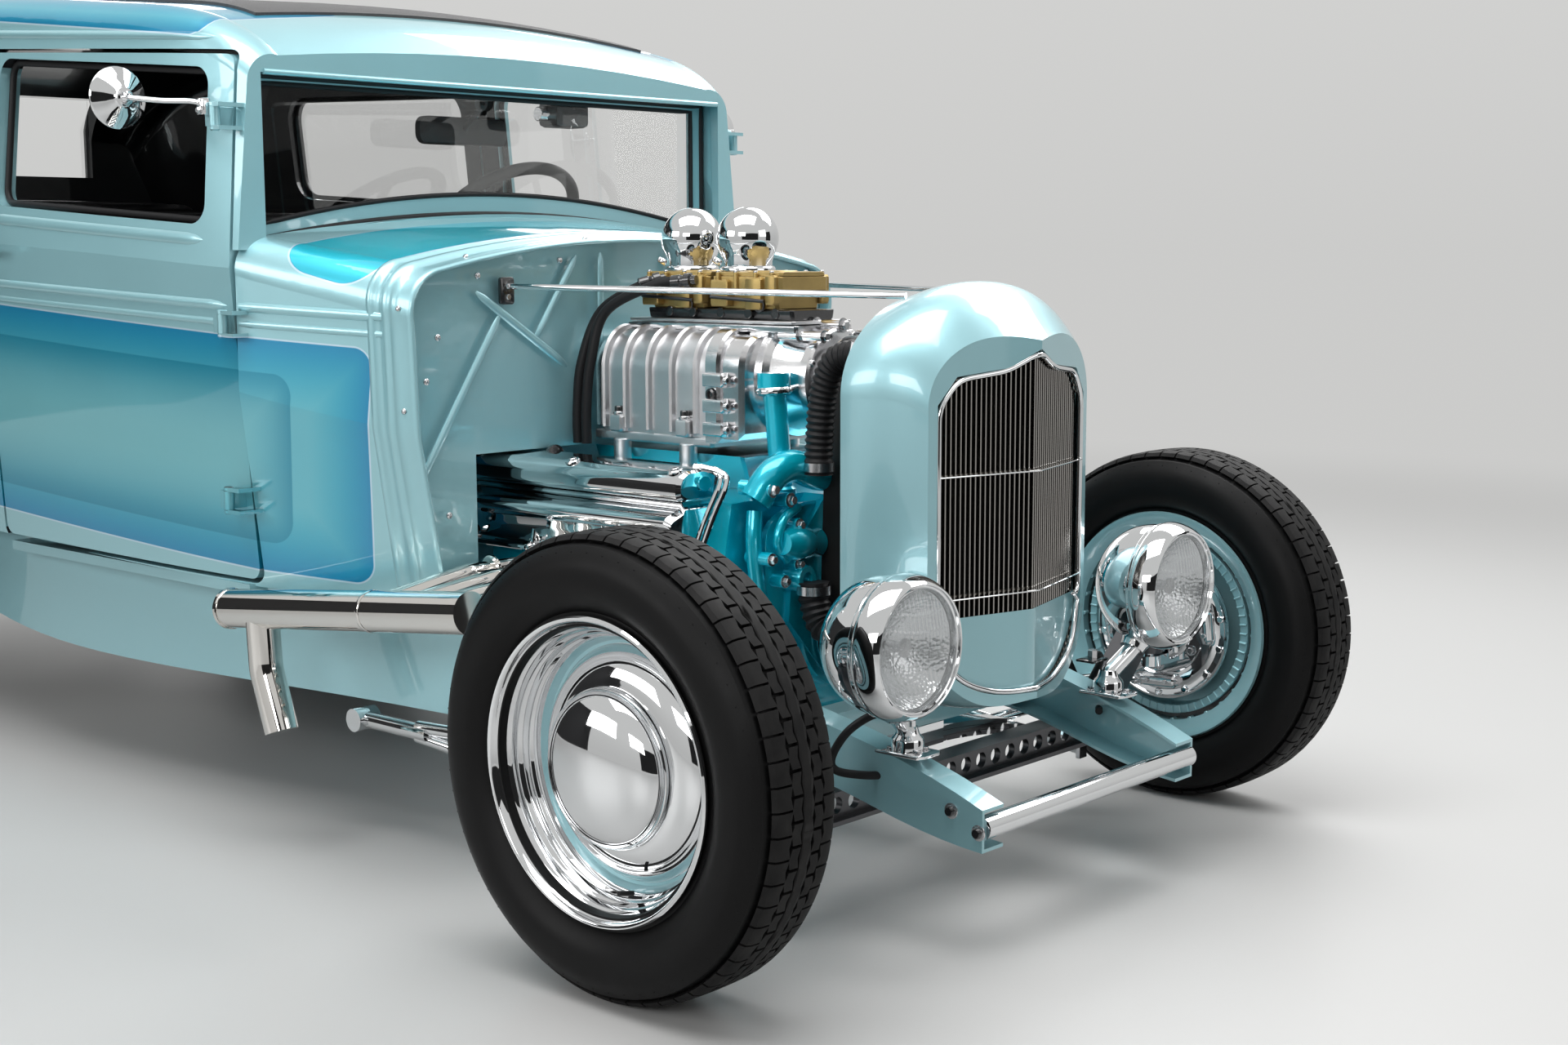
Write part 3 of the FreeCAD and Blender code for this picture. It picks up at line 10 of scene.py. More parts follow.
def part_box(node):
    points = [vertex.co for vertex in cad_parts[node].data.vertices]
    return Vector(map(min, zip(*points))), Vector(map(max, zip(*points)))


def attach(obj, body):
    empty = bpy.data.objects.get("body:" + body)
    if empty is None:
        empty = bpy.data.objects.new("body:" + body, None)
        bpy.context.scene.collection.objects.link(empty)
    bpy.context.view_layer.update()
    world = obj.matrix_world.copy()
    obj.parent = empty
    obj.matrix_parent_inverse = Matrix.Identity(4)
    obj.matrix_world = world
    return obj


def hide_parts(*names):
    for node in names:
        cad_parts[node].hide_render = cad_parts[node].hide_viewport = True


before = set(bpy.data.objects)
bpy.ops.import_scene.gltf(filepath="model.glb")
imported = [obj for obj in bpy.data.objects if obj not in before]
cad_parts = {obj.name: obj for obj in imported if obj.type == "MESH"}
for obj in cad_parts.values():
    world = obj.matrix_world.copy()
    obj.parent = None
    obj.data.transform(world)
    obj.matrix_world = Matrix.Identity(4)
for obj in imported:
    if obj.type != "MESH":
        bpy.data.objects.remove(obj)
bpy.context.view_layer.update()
scene = bpy.context.scene

# Metres; NOSE is how far the front axle lies ahead of the origin.
NOSE = 1.4825
WHEELBASE = 2.692
FRONT_TRACK = 1.393
REAR_TRACK = 1.45
FRONT_RADIUS = 0.315
REAR_RADIUS = 0.362
RIGHT = -1
LEFT = 1
SIDES = (("right", RIGHT), ("left", LEFT))
X_WAY = (1, 0, 0)
BACK_WAY = (-1, 0, 0)
Z_WAY = (0, 0, 1)


# Materials


class Field:
    """A value that changes over a surface, with the arithmetic of shader nodes."""

    def __init__(self, tree, socket):
        self.tree = tree
        self.socket = socket

    def math(self, operation, *others):
        """One step of arithmetic with other fields or numbers."""
        maths = self.tree.nodes.new("ShaderNodeMath")
        maths.operation = operation
        for socket, value in zip(maths.inputs, (self,) + others):
            if isinstance(value, Field):
                self.tree.links.new(value.socket, socket)
            else:
                socket.default_value = value
        return Field(self.tree, maths.outputs[0])

    def __add__(self, other):
        return self.math("ADD", other)

    def __sub__(self, other):
        return self.math("SUBTRACT", other)

    def __mul__(self, other):
        return self.math("MULTIPLY", other)

    def above(self, edge, width):
        """0 below an edge, 1 above it, with a ramp of the given width between."""
        return ((self - edge) * (1 / width) + 0.5).clamped()

    def below(self, edge, width):
        """1 below an edge, 0 above it."""
        return self.above(edge, width) * -1.0 + 1.0

    def clamped(self):
        """The value held between 0 and 1."""
        held = self.math("ADD", 0.0)
        held.socket.node.use_clamp = True
        return held

    def size(self):
        """The value without its sign."""
        return self.math("ABSOLUTE")


class Finish:
    """A Principled material that is built up step by step."""

    def __init__(self, name, colour, roughness, metallic=0.0, **sockets):
        self.data = bpy.data.materials.new(name)
        self.data.use_nodes = True
        self.data.diffuse_color = (*colour, 1)
        self.tree = self.data.node_tree
        self.shader = self.tree.nodes["Principled BSDF"]
        self.shader.inputs["Base Color"].default_value = (*colour, 1)
        self.shader.inputs["Roughness"].default_value = roughness
        self.shader.inputs["Metallic"].default_value = metallic
        for socket, value in sockets.items():
            self.shader.inputs[socket.replace("_", " ")].default_value = value

    def node(self, kind, **settings):
        """A new node; each setting is one of its sockets or properties."""
        made = self.tree.nodes.new("ShaderNode" + kind)
        for key, value in settings.items():
            if key in made.inputs:
                made.inputs[key].default_value = value
            else:
                setattr(made, key, value)
        return made

    def place(self):
        """The point on the piece, in metres."""
        return self.node("TexCoord").outputs["Object"]

    def axes(self):
        """The point's three coordinates."""
        split = self.node("SeparateXYZ")
        self.tree.links.new(self.place(), split.inputs[0])
        return [Field(self.tree, socket) for socket in split.outputs]

    def noise(self, scale, detail=3.0, stretch=None):
        """Soft noise, fixed to the piece."""
        made = self.node("TexNoise", Scale=scale, Detail=detail)
        source = self.place()
        if stretch:
            mapping = self.node("Mapping", Scale=stretch)
            self.tree.links.new(source, mapping.inputs[0])
            source = mapping.outputs[0]
        self.tree.links.new(source, made.inputs["Vector"])
        return Field(self.tree, made.outputs[0])

    def cells(self, scale):
        """The distance to the nearest of scattered points."""
        made = self.node("TexVoronoi", Scale=scale)
        self.tree.links.new(self.place(), made.inputs["Vector"])
        return Field(self.tree, made.outputs["Distance"])

    def bump(self, field, depth):
        """Raise the surface by a field; calls add up."""
        made = self.node("Bump", Distance=depth, Strength=1.0)
        self.tree.links.new(field.socket, made.inputs["Height"])
        before = self.shader.inputs["Normal"].links
        if before:
            self.tree.links.new(before[0].from_socket, made.inputs["Normal"])
        self.tree.links.new(made.outputs[0], self.shader.inputs["Normal"])
        return self

    def grain(self, depth, scale, detail=3.0, stretch=None):
        """A bump of noise."""
        return self.bump(self.noise(scale, detail, stretch), depth)

    def pebble(self, depth, scale):
        """A bump of small cells."""
        return self.bump(self.cells(scale), depth)

    def vary(self, field, socket, low, high):
        """Let one of the shader's numbers follow a field between two values."""
        ramp = self.node("MapRange")
        ramp.inputs["To Min"].default_value = low
        ramp.inputs["To Max"].default_value = high
        self.tree.links.new(field.socket, ramp.inputs["Value"])
        self.tree.links.new(ramp.outputs[0], self.shader.inputs[socket])
        return self

    def tint(self, field, colour):
        """Lay another colour over the base where the field is 1."""
        mix = self.node("Mix")
        mix.data_type = "RGBA"
        target = self.shader.inputs["Base Color"]
        if target.links:
            self.tree.links.new(target.links[0].from_socket, mix.inputs[6])
        else:
            mix.inputs[6].default_value = target.default_value
        mix.inputs[7].default_value = (*colour, 1)
        self.tree.links.new(field.socket, mix.inputs[0])
        self.tree.links.new(mix.outputs[2], target)
        return self

    def patches(self, colour, scale, edge, width, detail=4.0, share=0.5):
        """Cloudy patches of another colour."""
        return self.tint(self.noise(scale, detail).above(edge, width) * share, colour)


def rounded_box(across, up, middle, half, corner):
    """The distance to a rectangle with round corners: below 0 inside it."""
    out_across = (across - middle[0]).size() - (half[0] - corner)
    out_up = (up - middle[1]).size() - (half[1] - corner)
    far = (out_across.math("MAXIMUM", 0.0).math("POWER", 2.0)
           + out_up.math("MAXIMUM", 0.0).math("POWER", 2.0)).math("SQRT")
    near = out_across.math("MAXIMUM", out_up).math("MINIMUM", 0.0)
    return far + near - corner


AQUA = (0.29, 0.54, 0.59)
BLUE = (0.0, 0.215, 0.43)
SEA = (0.0, 0.385, 0.5)
STRIPE = (0.5, 0.66, 0.76)


def fade_panel(finish, distance, depth, where, least=0.6):
    """An airbrushed panel: blue at its edge that fades inwards, with a thin pale stripe round it."""
    inside = distance.below(0.0, 0.002)
    fade = ((distance + depth) * (1 / depth)).clamped()
    stripe = (distance - 0.0012).size().below(0.0014, 0.001)
    wash = inside * (fade * (1.0 - least) + least) * where
    edge = inside * fade.math("POWER", 1.7) * 0.92 * where
    finish.tint(wash, SEA)
    finish.tint(edge, BLUE)
    finish.tint(stripe * where, STRIPE)


def pearl(name, colour):
    """Aqua pearl paint: a fine mica sparkle below a clear coat with a trace of orange peel."""
    paint = Finish(name, colour, 0.32, 0.42, Coat_Weight=1.0, Coat_Roughness=0.03,
                   Specular_IOR_Level=0.6)
    paint.pebble(0.00004, 2400).grain(0.00002, 95, 2.0)
    return paint.vary(paint.noise(6.0, 4.0), "Roughness", 0.28, 0.4)


def body_paint():
    """The body's paint with its airbrushed panels, placed by the point's own coordinates."""
    paint = pearl("pearl_body", AQUA)
    x, y, z = paint.axes()
    x = x - NOSE
    side = y.size()
    flank = side.above(0.3, 0.01) * x.below(-0.722, 0.002)
    below_belt = z.below(0.99, 0.002)
    along = x + (z * -1.0 + 0.823) * 0.126
    height = z + (x + 1.04) * 0.0575 - 0.652
    outer = rounded_box(along, height, (-1.5395, 0.0), (0.7805, 0.1965), 0.035)
    fade_panel(paint, outer, 0.12, flank * below_belt)
    inner = rounded_box(along, height, (-1.555, -0.003), (0.645, 0.144), 0.04)
    inside = inner.below(0.0, 0.0015) * flank * below_belt
    core = ((inner + 0.12) * (1 / 0.12)).clamped()
    paint.tint(inside * (core * -0.9 + 0.95).clamped(), (0.17, 0.495, 0.55))
    paint.tint(inside * core.math("POWER", 2.0) * 0.85, (0.0, 0.225, 0.34))
    line = z - (((x + 0.75) * -1.0) * 0.24 + 0.92)
    cowl_top = rounded_box(x, line, (-0.855, 0.3), (0.098, 0.3), 0.07)
    top = x.above(-0.96, 0.002) * z.below(1.06, 0.002) * z.above(0.9, 0.002)
    fade_panel(paint, cowl_top, 0.06, top, 0.7)
    paint.tint(cowl_top.below(-0.001, 0.0015) * top * 0.8, (0.01, 0.52, 0.65))
    lift = z - ((x + 1.14) * -0.105 + 1.375)
    roof = rounded_box(x, lift, (-2.05, 0.0), (0.92, 0.028), 0.026)
    fade_panel(paint, roof, 0.045, side.above(0.3, 0.01))
    normal = paint.node("SeparateXYZ")
    paint.tree.links.new(paint.node("TexCoord").outputs["Normal"], normal.inputs[0])
    nx, ny, nz = [Field(paint.tree, socket) for socket in normal.outputs]
    facing = nx * ((x + 2.05) * 0.62) + ny * (y * 1.5) + nz * ((z - 1.12) * 2.4)
    cabin = x.below(-1.085, 0.004) * z.above(0.62, 0.01)
    footwell = x.below(-0.735, 0.004) * z.below(0.88, 0.01) * z.above(0.44, 0.01)
    lining = facing.below(-0.12, 0.02) * (cabin + footwell).clamped()
    return paint.tint(lining, (0.012, 0.013, 0.015))


def chrome(name, colour, roughness=0.035):
    """Polished plating with a slight waviness."""
    plate = Finish(name, colour, roughness, 1.0)
    plate.vary(plate.noise(14.0, 5.0), "Roughness", roughness * 0.5, roughness * 1.8)
    return plate.grain(0.00003, 30.0, 1.0)


def rubber(name, grey, roughness):
    """Black rubber with a matt grain; grey is its brightness and its trace of blue."""
    made = Finish(name, (grey[0], grey[0], grey[1]), roughness, Specular_IOR_Level=0.14)
    made.grain(0.00008, 900.0)
    return made.vary(made.noise(22.0, 5.0), "Roughness", roughness - 0.1, roughness + 0.14)


def alloy(name, colour, roughness, scale=160.0):
    """Cast or milled aluminium with a fine satin grain."""
    made = Finish(name, colour, roughness, 1.0).grain(0.00005, scale, 5.0, (1.0, 1.0, 9.0))
    return made.vary(made.noise(18.0, 5.0), "Roughness", roughness - 0.06, roughness + 0.1)


PAINT = body_paint()
FRAME_PAINT = pearl("pearl_frame", (0.29, 0.53, 0.58))
ENGINE = Finish("engine_teal", (0.0, 0.54, 0.7), 0.24, 0.42, Coat_Weight=0.9, Coat_Roughness=0.06)
ENGINE.grain(0.00025, 170.0, 4.0).patches((0.0, 0.26, 0.38), 9.0, 0.56, 0.35)
CHROME = chrome("chrome", (0.72, 0.73, 0.74))
HEATED = chrome("chrome_heated", (0.74, 0.72, 0.69))
POLISHED = alloy("polished_alloy", (0.8, 0.8, 0.81), 0.16)
CAST = alloy("satin_alloy", (0.62, 0.62, 0.63), 0.34, 420.0)
GOLD = Finish("gold_casting", (0.42, 0.3, 0.11), 0.38, 0.75)
GOLD.grain(0.00018, 520.0, 4.0).patches((0.3, 0.21, 0.08), 30.0, 0.55, 0.3)
STEEL = alloy("bright_steel", (0.55, 0.55, 0.56), 0.22)
DARK_STEEL = alloy("dark_steel", (0.1, 0.1, 0.105), 0.3)
BAR_STEEL = alloy("grille_steel", (0.36, 0.345, 0.325), 0.14, 300.0)
MIRROR = Finish("lamp_mirror", (0.84, 0.86, 0.87), 0.16, 0.9).pebble(0.001, 160.0)
BLACK = Finish("black_paint", (0.012, 0.012, 0.013), 0.22, Coat_Weight=0.8, Coat_Roughness=0.08)
BLACK.grain(0.00006, 240.0)
SATIN_BLACK = Finish("black_trim", (0.018, 0.018, 0.019), 0.48).pebble(0.00012, 900.0)
RUBBER = rubber("hose_rubber", (0.016, 0.017), 0.42)
SIDEWALL = rubber("tyre_sidewall", (0.0034, 0.0036), 0.44)
TREAD = rubber("tyre_tread", (0.006, 0.0064), 0.6)
TREAD.patches((0.026, 0.025, 0.024), 40.0, 0.5, 0.4, 5.0, 0.4)
ROOF = Finish("roof_cloth", (0.02, 0.02, 0.021), 0.72, Sheen_Weight=0.15)
ROOF.pebble(0.00045, 620.0).patches((0.045, 0.045, 0.048), 320.0, 0.58, 0.2)
LEATHER = Finish("seat_leather", (0.017, 0.017, 0.019), 0.42, Specular_IOR_Level=0.45)
LEATHER.pebble(0.00025, 420.0).grain(0.0006, 40.0, 4.0)
GLASS = Finish("clear_glass", (0.93, 0.97, 0.96), 0.0, Transmission_Weight=1.0, IOR=1.45, Alpha=0.13)
GLASS.vary(GLASS.noise(5.0, 3.0), "Roughness", 0.0, 0.02)
LENS = Finish("lamp_glass", (0.46, 0.49, 0.5), 0.03, Specular_IOR_Level=1.0, Coat_Weight=1.0, Alpha=0.42)
LENS.grain(0.00004, 60.0, 2.0)
RED = Finish("red_lens", (0.45, 0.006, 0.008), 0.08, Coat_Weight=1.0).pebble(0.0004, 240.0)
FLOOR_PAINT = Finish("floor_black", (0.02, 0.02, 0.022), 0.55).grain(0.0004, 420.0, 5.0)
CARPET = Finish("carpet", (0.016, 0.016, 0.018), 0.95, Sheen_Weight=0.4).grain(0.0012, 900.0)
BELT = rubber("belt_rubber", (0.016, 0.016), 0.5)
SEAM = Finish("seat_piping", (0.03, 0.03, 0.032), 0.35).pebble(0.0001, 700.0)
DIAL = Finish("dial_face", (0.62, 0.6, 0.54), 0.45).grain(0.00005, 300.0)
FLAG = Finish("studio_flag", (0.015, 0.015, 0.016), 0.9).grain(0.0002, 90.0)

FINISHED_NODES = (
    (PAINT, "body_shell cowl door_right door_left dashboard"),
    (FRAME_PAINT, "grille_shell frame crossmembers windscreen_frame"),
    (CHROME, "spreader_bars front_suspension knuckle_right knuckle_left tie_rod valve_covers air_scoops"
             " headlamps stay_rods mirror_right mirror_left wheel_front_right wheel_front_left"
             " wheel_rear_right wheel_rear_left"),
    (DARK_STEEL, "front_axle rear_suspension"), (BLACK, "rear_axle radiator steering_column"),
    (ENGINE, "engine_block"), (POLISHED, "blower"), (BELT, "blower_drive"), (GOLD, "carburettors"),
    (HEATED, "exhausts"), (BAR_STEEL, "grille"), (LENS, "headlamp_lenses"), (ROOF, "roof_insert"),
    (GLASS, "window_glass"), (CARPET, "floor"), (LEATHER, "seats"), (SATIN_BLACK, "steering_wheel"),
    (RUBBER, "hoses"), (FLOOR_PAINT, "fuel_tank"), (RED, "tail_lamps"),
    (SIDEWALL, "tyre_front_right tyre_front_left tyre_rear_right tyre_rear_left"),
)


def dress_nodes():
    """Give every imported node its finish."""
    for finish, names in FINISHED_NODES:
        for name in names.split():
            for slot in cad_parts[name].material_slots:
                slot.material = finish.data


# Shapes


def axis_turn(way):
    """The turn that brings +Z onto a direction."""
    return Vector(way).to_track_quat("Z", "Y").to_matrix().to_4x4()


def turns(count, start=0.0, shift=0.0):
    """The (cosine, sine) of equal steps round a circle."""
    angles = [2 * math.pi * (index + shift) / count + start for index in range(count)]
    return [(math.cos(angle), math.sin(angle)) for angle in angles]


class Piece:
    """A mesh that grows from lathed, swept and extruded forms, each in one of the finishes."""

    def __init__(self, name, *finishes):
        self.name = name
        self.finishes = finishes
        self.mesh = bmesh.new()

    def grid(self, rows, finish=0, close_rows=False, close_columns=False):
        """A surface through rows of points."""
        made = [[self.mesh.verts.new(point) for point in row] for row in rows]
        row_count = len(made) if close_rows else len(made) - 1
        column_count = len(made[0]) if close_columns else len(made[0]) - 1
        for i in range(row_count):
            first = made[i]
            second = made[(i + 1) % len(made)]
            for j in range(column_count):
                k = (j + 1) % len(first)
                face = self.mesh.faces.new((first[j], first[k], second[k], second[j]))
                face.material_index = finish
        return made

    def cap(self, ring, finish=0):
        """Close a ring of vertices with one face."""
        face = self.mesh.faces.new(ring)
        face.material_index = finish

    def skin(self, rings, finish=0, last=None):
        """A closed body through rings of points; its last cap may have a finish of its own."""
        made = self.grid(rings, finish, close_columns=True)
        self.cap(made[0], finish)
        self.cap(made[-1], finish if last is None else last)

    def lathe(self, profile, at, way, steps=64, finish=0, caps=True):
        """A profile of (along, radius) points, turned about a line."""
        turn = Matrix.Translation(Vector(at)) @ axis_turn(way)
        around = turns(steps)
        rows = [[turn @ Vector((radius * c, radius * s, along)) for c, s in around]
                for along, radius in profile]
        made = self.grid(rows, finish, close_columns=True)
        if caps:
            for row, (along, radius) in ((made[0], profile[0]), (made[-1], profile[-1])):
                if radius > 1e-6:
                    self.cap(row, finish)
        return made

    def rod(self, start, end, radius, finish=0, steps=20, ease=0.0):
        """A round bar with eased ends."""
        start = Vector(start)
        way = Vector(end) - start
        length = way.length
        ease = ease or radius * 0.12
        profile = ((0, radius - ease), (ease, radius), (length - ease, radius), (length, radius - ease))
        self.lathe(profile, start, way, steps, finish)

    def tube(self, path, radius, finish=0, steps=14, closed=False):
        """A round section carried along a path, without twist."""
        section = [(radius * c, radius * s) for c, s in turns(steps)]
        path = [Vector(point) for point in path]
        count = len(path)
        rows = []
        up = Vector((0, 0, 1))
        for index, point in enumerate(path):
            ahead = path[(index + 1) % count] if closed or index < count - 1 else point
            behind = path[index - 1] if closed or index > 0 else point
            way = (ahead - behind).normalized()
            if abs(way.dot(up)) > 0.999:
                up = Vector((1, 0, 0))
            side = way.cross(up).normalized()
            up = side.cross(way).normalized()
            rows.append([point + side * across + up * rise for across, rise in section])
        if closed:
            self.grid(rows, finish, close_rows=True, close_columns=True)
        else:
            self.skin(rows, finish)

    def block(self, low, high, finish=0, ease=0.001, turn=None):
        """A box with eased edges."""
        low = Vector(low)
        high = Vector(high)
        made = bmesh.ops.create_cube(self.mesh, size=1.0)
        size = high - low
        move = turn or Matrix()
        for vertex in made["verts"]:
            vertex.co = move @ (low + vertex.co * size + size / 2)
        edges = dict.fromkeys(edge for vertex in made["verts"] for edge in vertex.link_edges)
        faces = dict.fromkeys(face for vertex in made["verts"] for face in vertex.link_faces)
        for face in faces:
            face.material_index = finish
        if ease:
            bmesh.ops.bevel(self.mesh, geom=list(edges), offset=ease, segments=2, affect="EDGES",
                            profile=0.5)

    def bolt(self, at, way, radius=0.006, height=0.005, finish=0):
        """A hexagon head on a washer."""
        at = Vector(at)
        way = Vector(way).normalized()
        rim = ((0, radius * 1.45), (0.0012, radius * 1.45), (0.0014, radius * 1.3))
        self.lathe(rim, at, way, 24, finish)
        head = ((0, radius), (height * 0.75, radius), (height, radius * 0.82))
        self.lathe(head, at + way * 0.001, way, 6, finish)

    def socket_screw(self, at, way, radius=0.006, height=0.007, finish=0, dark=0):
        """A round head with a hexagon socket, whose pit takes a dark finish as painted shade."""
        at = Vector(at)
        way = Vector(way).normalized()
        hole = radius * 0.52
        head = ((0, radius), (height * 0.8, radius), (height, radius * 0.86), (height, hole))
        self.lathe(head, at, way, 24, finish)
        # The socket's floor and walls get the dark finish: painted shade in the recess, not a colour of the
        # screw.
        self.lathe(((height * 0.4, 0.0), (height * 0.4, hole), (height + 0.0001, hole)), at, way, 6, dark)

    def shape(self):
        """Turn the mesh into an object in the scene."""
        data = bpy.data.meshes.new(self.name)
        self.mesh.to_mesh(data)
        self.mesh.free()
        for finish in self.finishes:
            data.materials.append(finish.data)
        made = bpy.data.objects.new(self.name, data)
        scene.collection.objects.link(made)
        return made

    def build(self, body, *replaced, slot, sharp):
        """Finish the mesh as a piece that rides on a body; edges over the sharp angle stay hard."""
        bmesh.ops.remove_doubles(self.mesh, verts=self.mesh.verts, dist=1e-6)
        bmesh.ops.recalc_face_normals(self.mesh, faces=self.mesh.faces)
        limit = math.radians(sharp)
        for face in self.mesh.faces:
            face.smooth = True
        for edge in self.mesh.edges:
            if len(edge.link_faces) == 2 and edge.calc_face_angle(0.0) > limit:
                edge.smooth = False
        made = self.shape()
        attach(made, body)
        if replaced:
            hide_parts(*replaced)
        return made


def smooth_path(points, per_run=8):
    """Points along a smooth line through the given ones."""
    spots = [Vector(point) for point in points]
    spots = [spots[0] * 2 - spots[1]] + spots + [spots[-1] * 2 - spots[-2]]
    path = []
    for a, b, c, d in zip(spots, spots[1:], spots[2:], spots[3:]):
        for step in range(per_run):
            t = step / per_run
            path.append(0.5 * (2 * b + (c - a) * t + (2 * a - 5 * b + 4 * c - d) * t * t
                               + (3 * b - a - 3 * c + d) * t ** 3))
    path.append(spots[-2])
    return path


def closed_path(corners, gap):
    """A closed line through the corners, with a point at least every gap."""
    path = []
    for index, point in enumerate(corners):
        after = corners[(index + 1) % len(corners)]
        parts = max(int((after - point).length / gap), 1)
        path += [point.lerp(after, part / parts) for part in range(parts)]
    return path


# Wheels and tyres


# Radii of a tyre's foot on the rim: its inner edge, its outer edge, and where the wall leaves the flange.
TYRE_FOOT = 0.1905
TYRE_HEEL = 0.1925
FLANGE_TOP = 0.2105


class TyreSection:
    """The outside of a tyre from bead to bead, by distance across it from the middle."""

    def __init__(self, radius, half, tread_half, bead_half):
        self.radius = radius
        self.shoulder = tread_half
        foot = Vector((bead_half, FLANGE_TOP))
        top = Vector((tread_half + 0.004, radius - 0.012))
        chord = top - foot
        middle = (foot + top) / 2
        bulge = half - middle.x
        size = ((chord.length / 2) ** 2 + bulge ** 2) / (2 * bulge)
        centre = Vector((half - size, middle.y))  # of the wall's arc
        first = math.atan2(foot.y - centre.y, foot.x - centre.x)
        last = math.atan2(top.y - centre.y, top.x - centre.x)
        self.wall = []
        for step in range(13):
            angle = first + (last - first) * step / 12
            self.wall.append((centre.x + size * math.cos(angle), centre.y + size * math.sin(angle)))

    def tread(self, across, depth=0.0):
        """The (across, radius) point at a distance from the middle line, over the shoulder too."""
        side = 1 if across >= 0 else -1
        far = abs(across)
        flat = self.shoulder - 0.01
        bend = 0.015
        crown = self.radius - 0.0012 * (min(far, flat) / flat) ** 2
        if far <= flat:
            return side * far, crown - depth
        turn = (far - flat) / bend
        angle = turn * 1.15
        return (side * (flat + math.sin(angle) * (bend - depth)),
                crown - bend + math.cos(angle) * (bend - depth))


def ring_point(section_point, angle, centre):
    """A point of a wheel's section turned about the axle, which lies along Y."""
    across, radius = section_point
    return Vector((centre[0] + radius * math.cos(angle), centre[1] + across,
                   centre[2] + radius * math.sin(angle)))


def tread_block(piece, section, centre, edges, angles, depth):
    """One block of the tread: its edges lean in a zigzag, its walls go down to the groove."""
    left, right, zig = edges
    start, end = angles
    rows = []
    for j in range(3):
        angle = start + (end - start) * j / 2
        lean = [shift if j == 1 else -shift for shift in zig]
        width = right + lean[1] - left - lean[0]
        rows.append([(left + lean[0] + width * i / 4, angle) for i in range(5)])
    top = [[ring_point(section.tread(across), angle, centre) for across, angle in row] for row in rows]
    made = piece.grid(top, 1)

    def border(lines):
        """The outer items of a grid, in order round it."""
        return (lines[0] + [line[-1] for line in lines[1:]] + lines[-1][-2::-1]
                + [line[0] for line in lines[-2:0:-1]])

    rim = border(made)
    low = [piece.mesh.verts.new(ring_point(section.tread(across, depth), angle, centre))
           for across, angle in border(rows)]
    for i in range(len(rim)):
        k = (i + 1) % len(rim)
        piece.mesh.faces.new((rim[i], low[i], low[k], rim[k])).material_index = 1


def tyre(name, body, radius, half, tread_half, bead_half, centre, pitches):
    """A tyre: carcass with ribbed sidewalls, and a five-row block tread."""
    piece = Piece(name + "_detail", SIDEWALL, TREAD)
    section = TyreSection(radius, half, tread_half, bead_half)
    depth = 0.0075
    profile = [(-bead_half + 0.008, TYRE_FOOT), (-bead_half, TYRE_HEEL)]
    ribs = {4: 0.0006, 8: 0.0008}
    wall = [(across + ribs.get(index, 0.0), r) for index, (across, r) in enumerate(section.wall[:-1])]
    profile += [(-across, r) for across, r in wall]
    steps = 18
    reach = tread_half + 0.0055
    profile += [section.tread(-reach + 2 * reach * step / steps, depth) for step in range(steps + 1)]
    profile += wall[::-1] + [(bead_half, TYRE_HEEL), (bead_half - 0.008, TYRE_FOOT)]
    around = pitches * 3
    rows = [[ring_point(point, 2 * math.pi * step / around, centre) for step in range(around)]
            for point in profile]
    piece.grid(rows, 0, close_rows=True, close_columns=True)

    pitch = 2 * math.pi / pitches
    width = tread_half
    groove = 0.0026
    zig = width * 0.035
    inner = (width * 0.17 + groove, width * 0.5)
    outer = (width * 0.5 + groove, width + 0.0045)
    blocks = (((-width * 0.17, width * 0.17, (zig * 0.8, -zig * 0.8)), 0.0, 1.0),
              ((*inner, (zig, zig)), 0.06, 0.92), ((-inner[1], -inner[0], (-zig, -zig)), 0.56, 1.42),
              ((*outer, (zig, 0.0)), 0.3, 1.2), ((-outer[1], -outer[0], (0.0, -zig)), 0.05, 0.95))
    marker = Vector((0.0008, 0.0012, 0.0035))
    across, r = section.wall[10]
    for index in range(pitches):
        start = index * pitch
        for edges, first, last in blocks:
            tread_block(piece, section, centre, edges, (start + pitch * first, start + pitch * last), depth)
        middle = start + pitch * 0.5
        for side in (-1, 1):
            piece.block(-marker, marker, 0, 0.0,
                        Matrix.Translation(ring_point((side * across, r - 0.004), middle, centre))
                        @ Matrix.Rotation(-middle + math.pi / 2, 4, "Y"))
    piece.build(body, name, slot="tyre_rubber", sharp=28)


def wheel_profile(rim_half):
    """A smooth steel wheel from its outer flange to its domed cap, as (out, radius)."""
    lip = ((0.006, 0.2072), (0.0025, 0.207), (0.0002, 0.2045), (0.0004, 0.2015), (0.0025, 0.1993),
           (0.007, 0.1981), (0.01, 0.1964), (0.012, 0.1938), (0.0142, 0.1925), (0.02, 0.1917),
           (0.0242, 0.1899), (0.0262, 0.1874), (0.0286, 0.186), (0.0342, 0.1851), (0.0386, 0.1832),
           (0.0406, 0.1806), (0.0432, 0.1793))
    disc = [(0.024, 0.1786), (0.0195, 0.1768), (0.017, 0.174), (0.013, 0.1722), (0.006, 0.1714),
            (0.0, 0.17), (-0.004, 0.1672), (-0.0058, 0.1638), (-0.005, 0.16), (-0.0015, 0.1566),
            (0.005, 0.1535), (0.012, 0.149), (0.019, 0.141), (0.0245, 0.131), (0.028, 0.121),
            (0.0296, 0.114), (0.03, 0.1105), (0.0306, 0.1088), (0.033, 0.1082), (0.037, 0.1088),
            (0.0394, 0.1082), (0.0406, 0.1066)]
    cap_foot, cap_rise, cap_radius = 0.0406, 0.0434, 0.1066
    angles = [math.pi / 2 * step / 14 for step in range(1, 15)]
    dome = [(cap_foot + cap_rise * math.sin(angle), cap_radius * math.cos(angle)) for angle in angles]
    return [(rim_half - inset, radius) for inset, radius in lip] + disc + dome


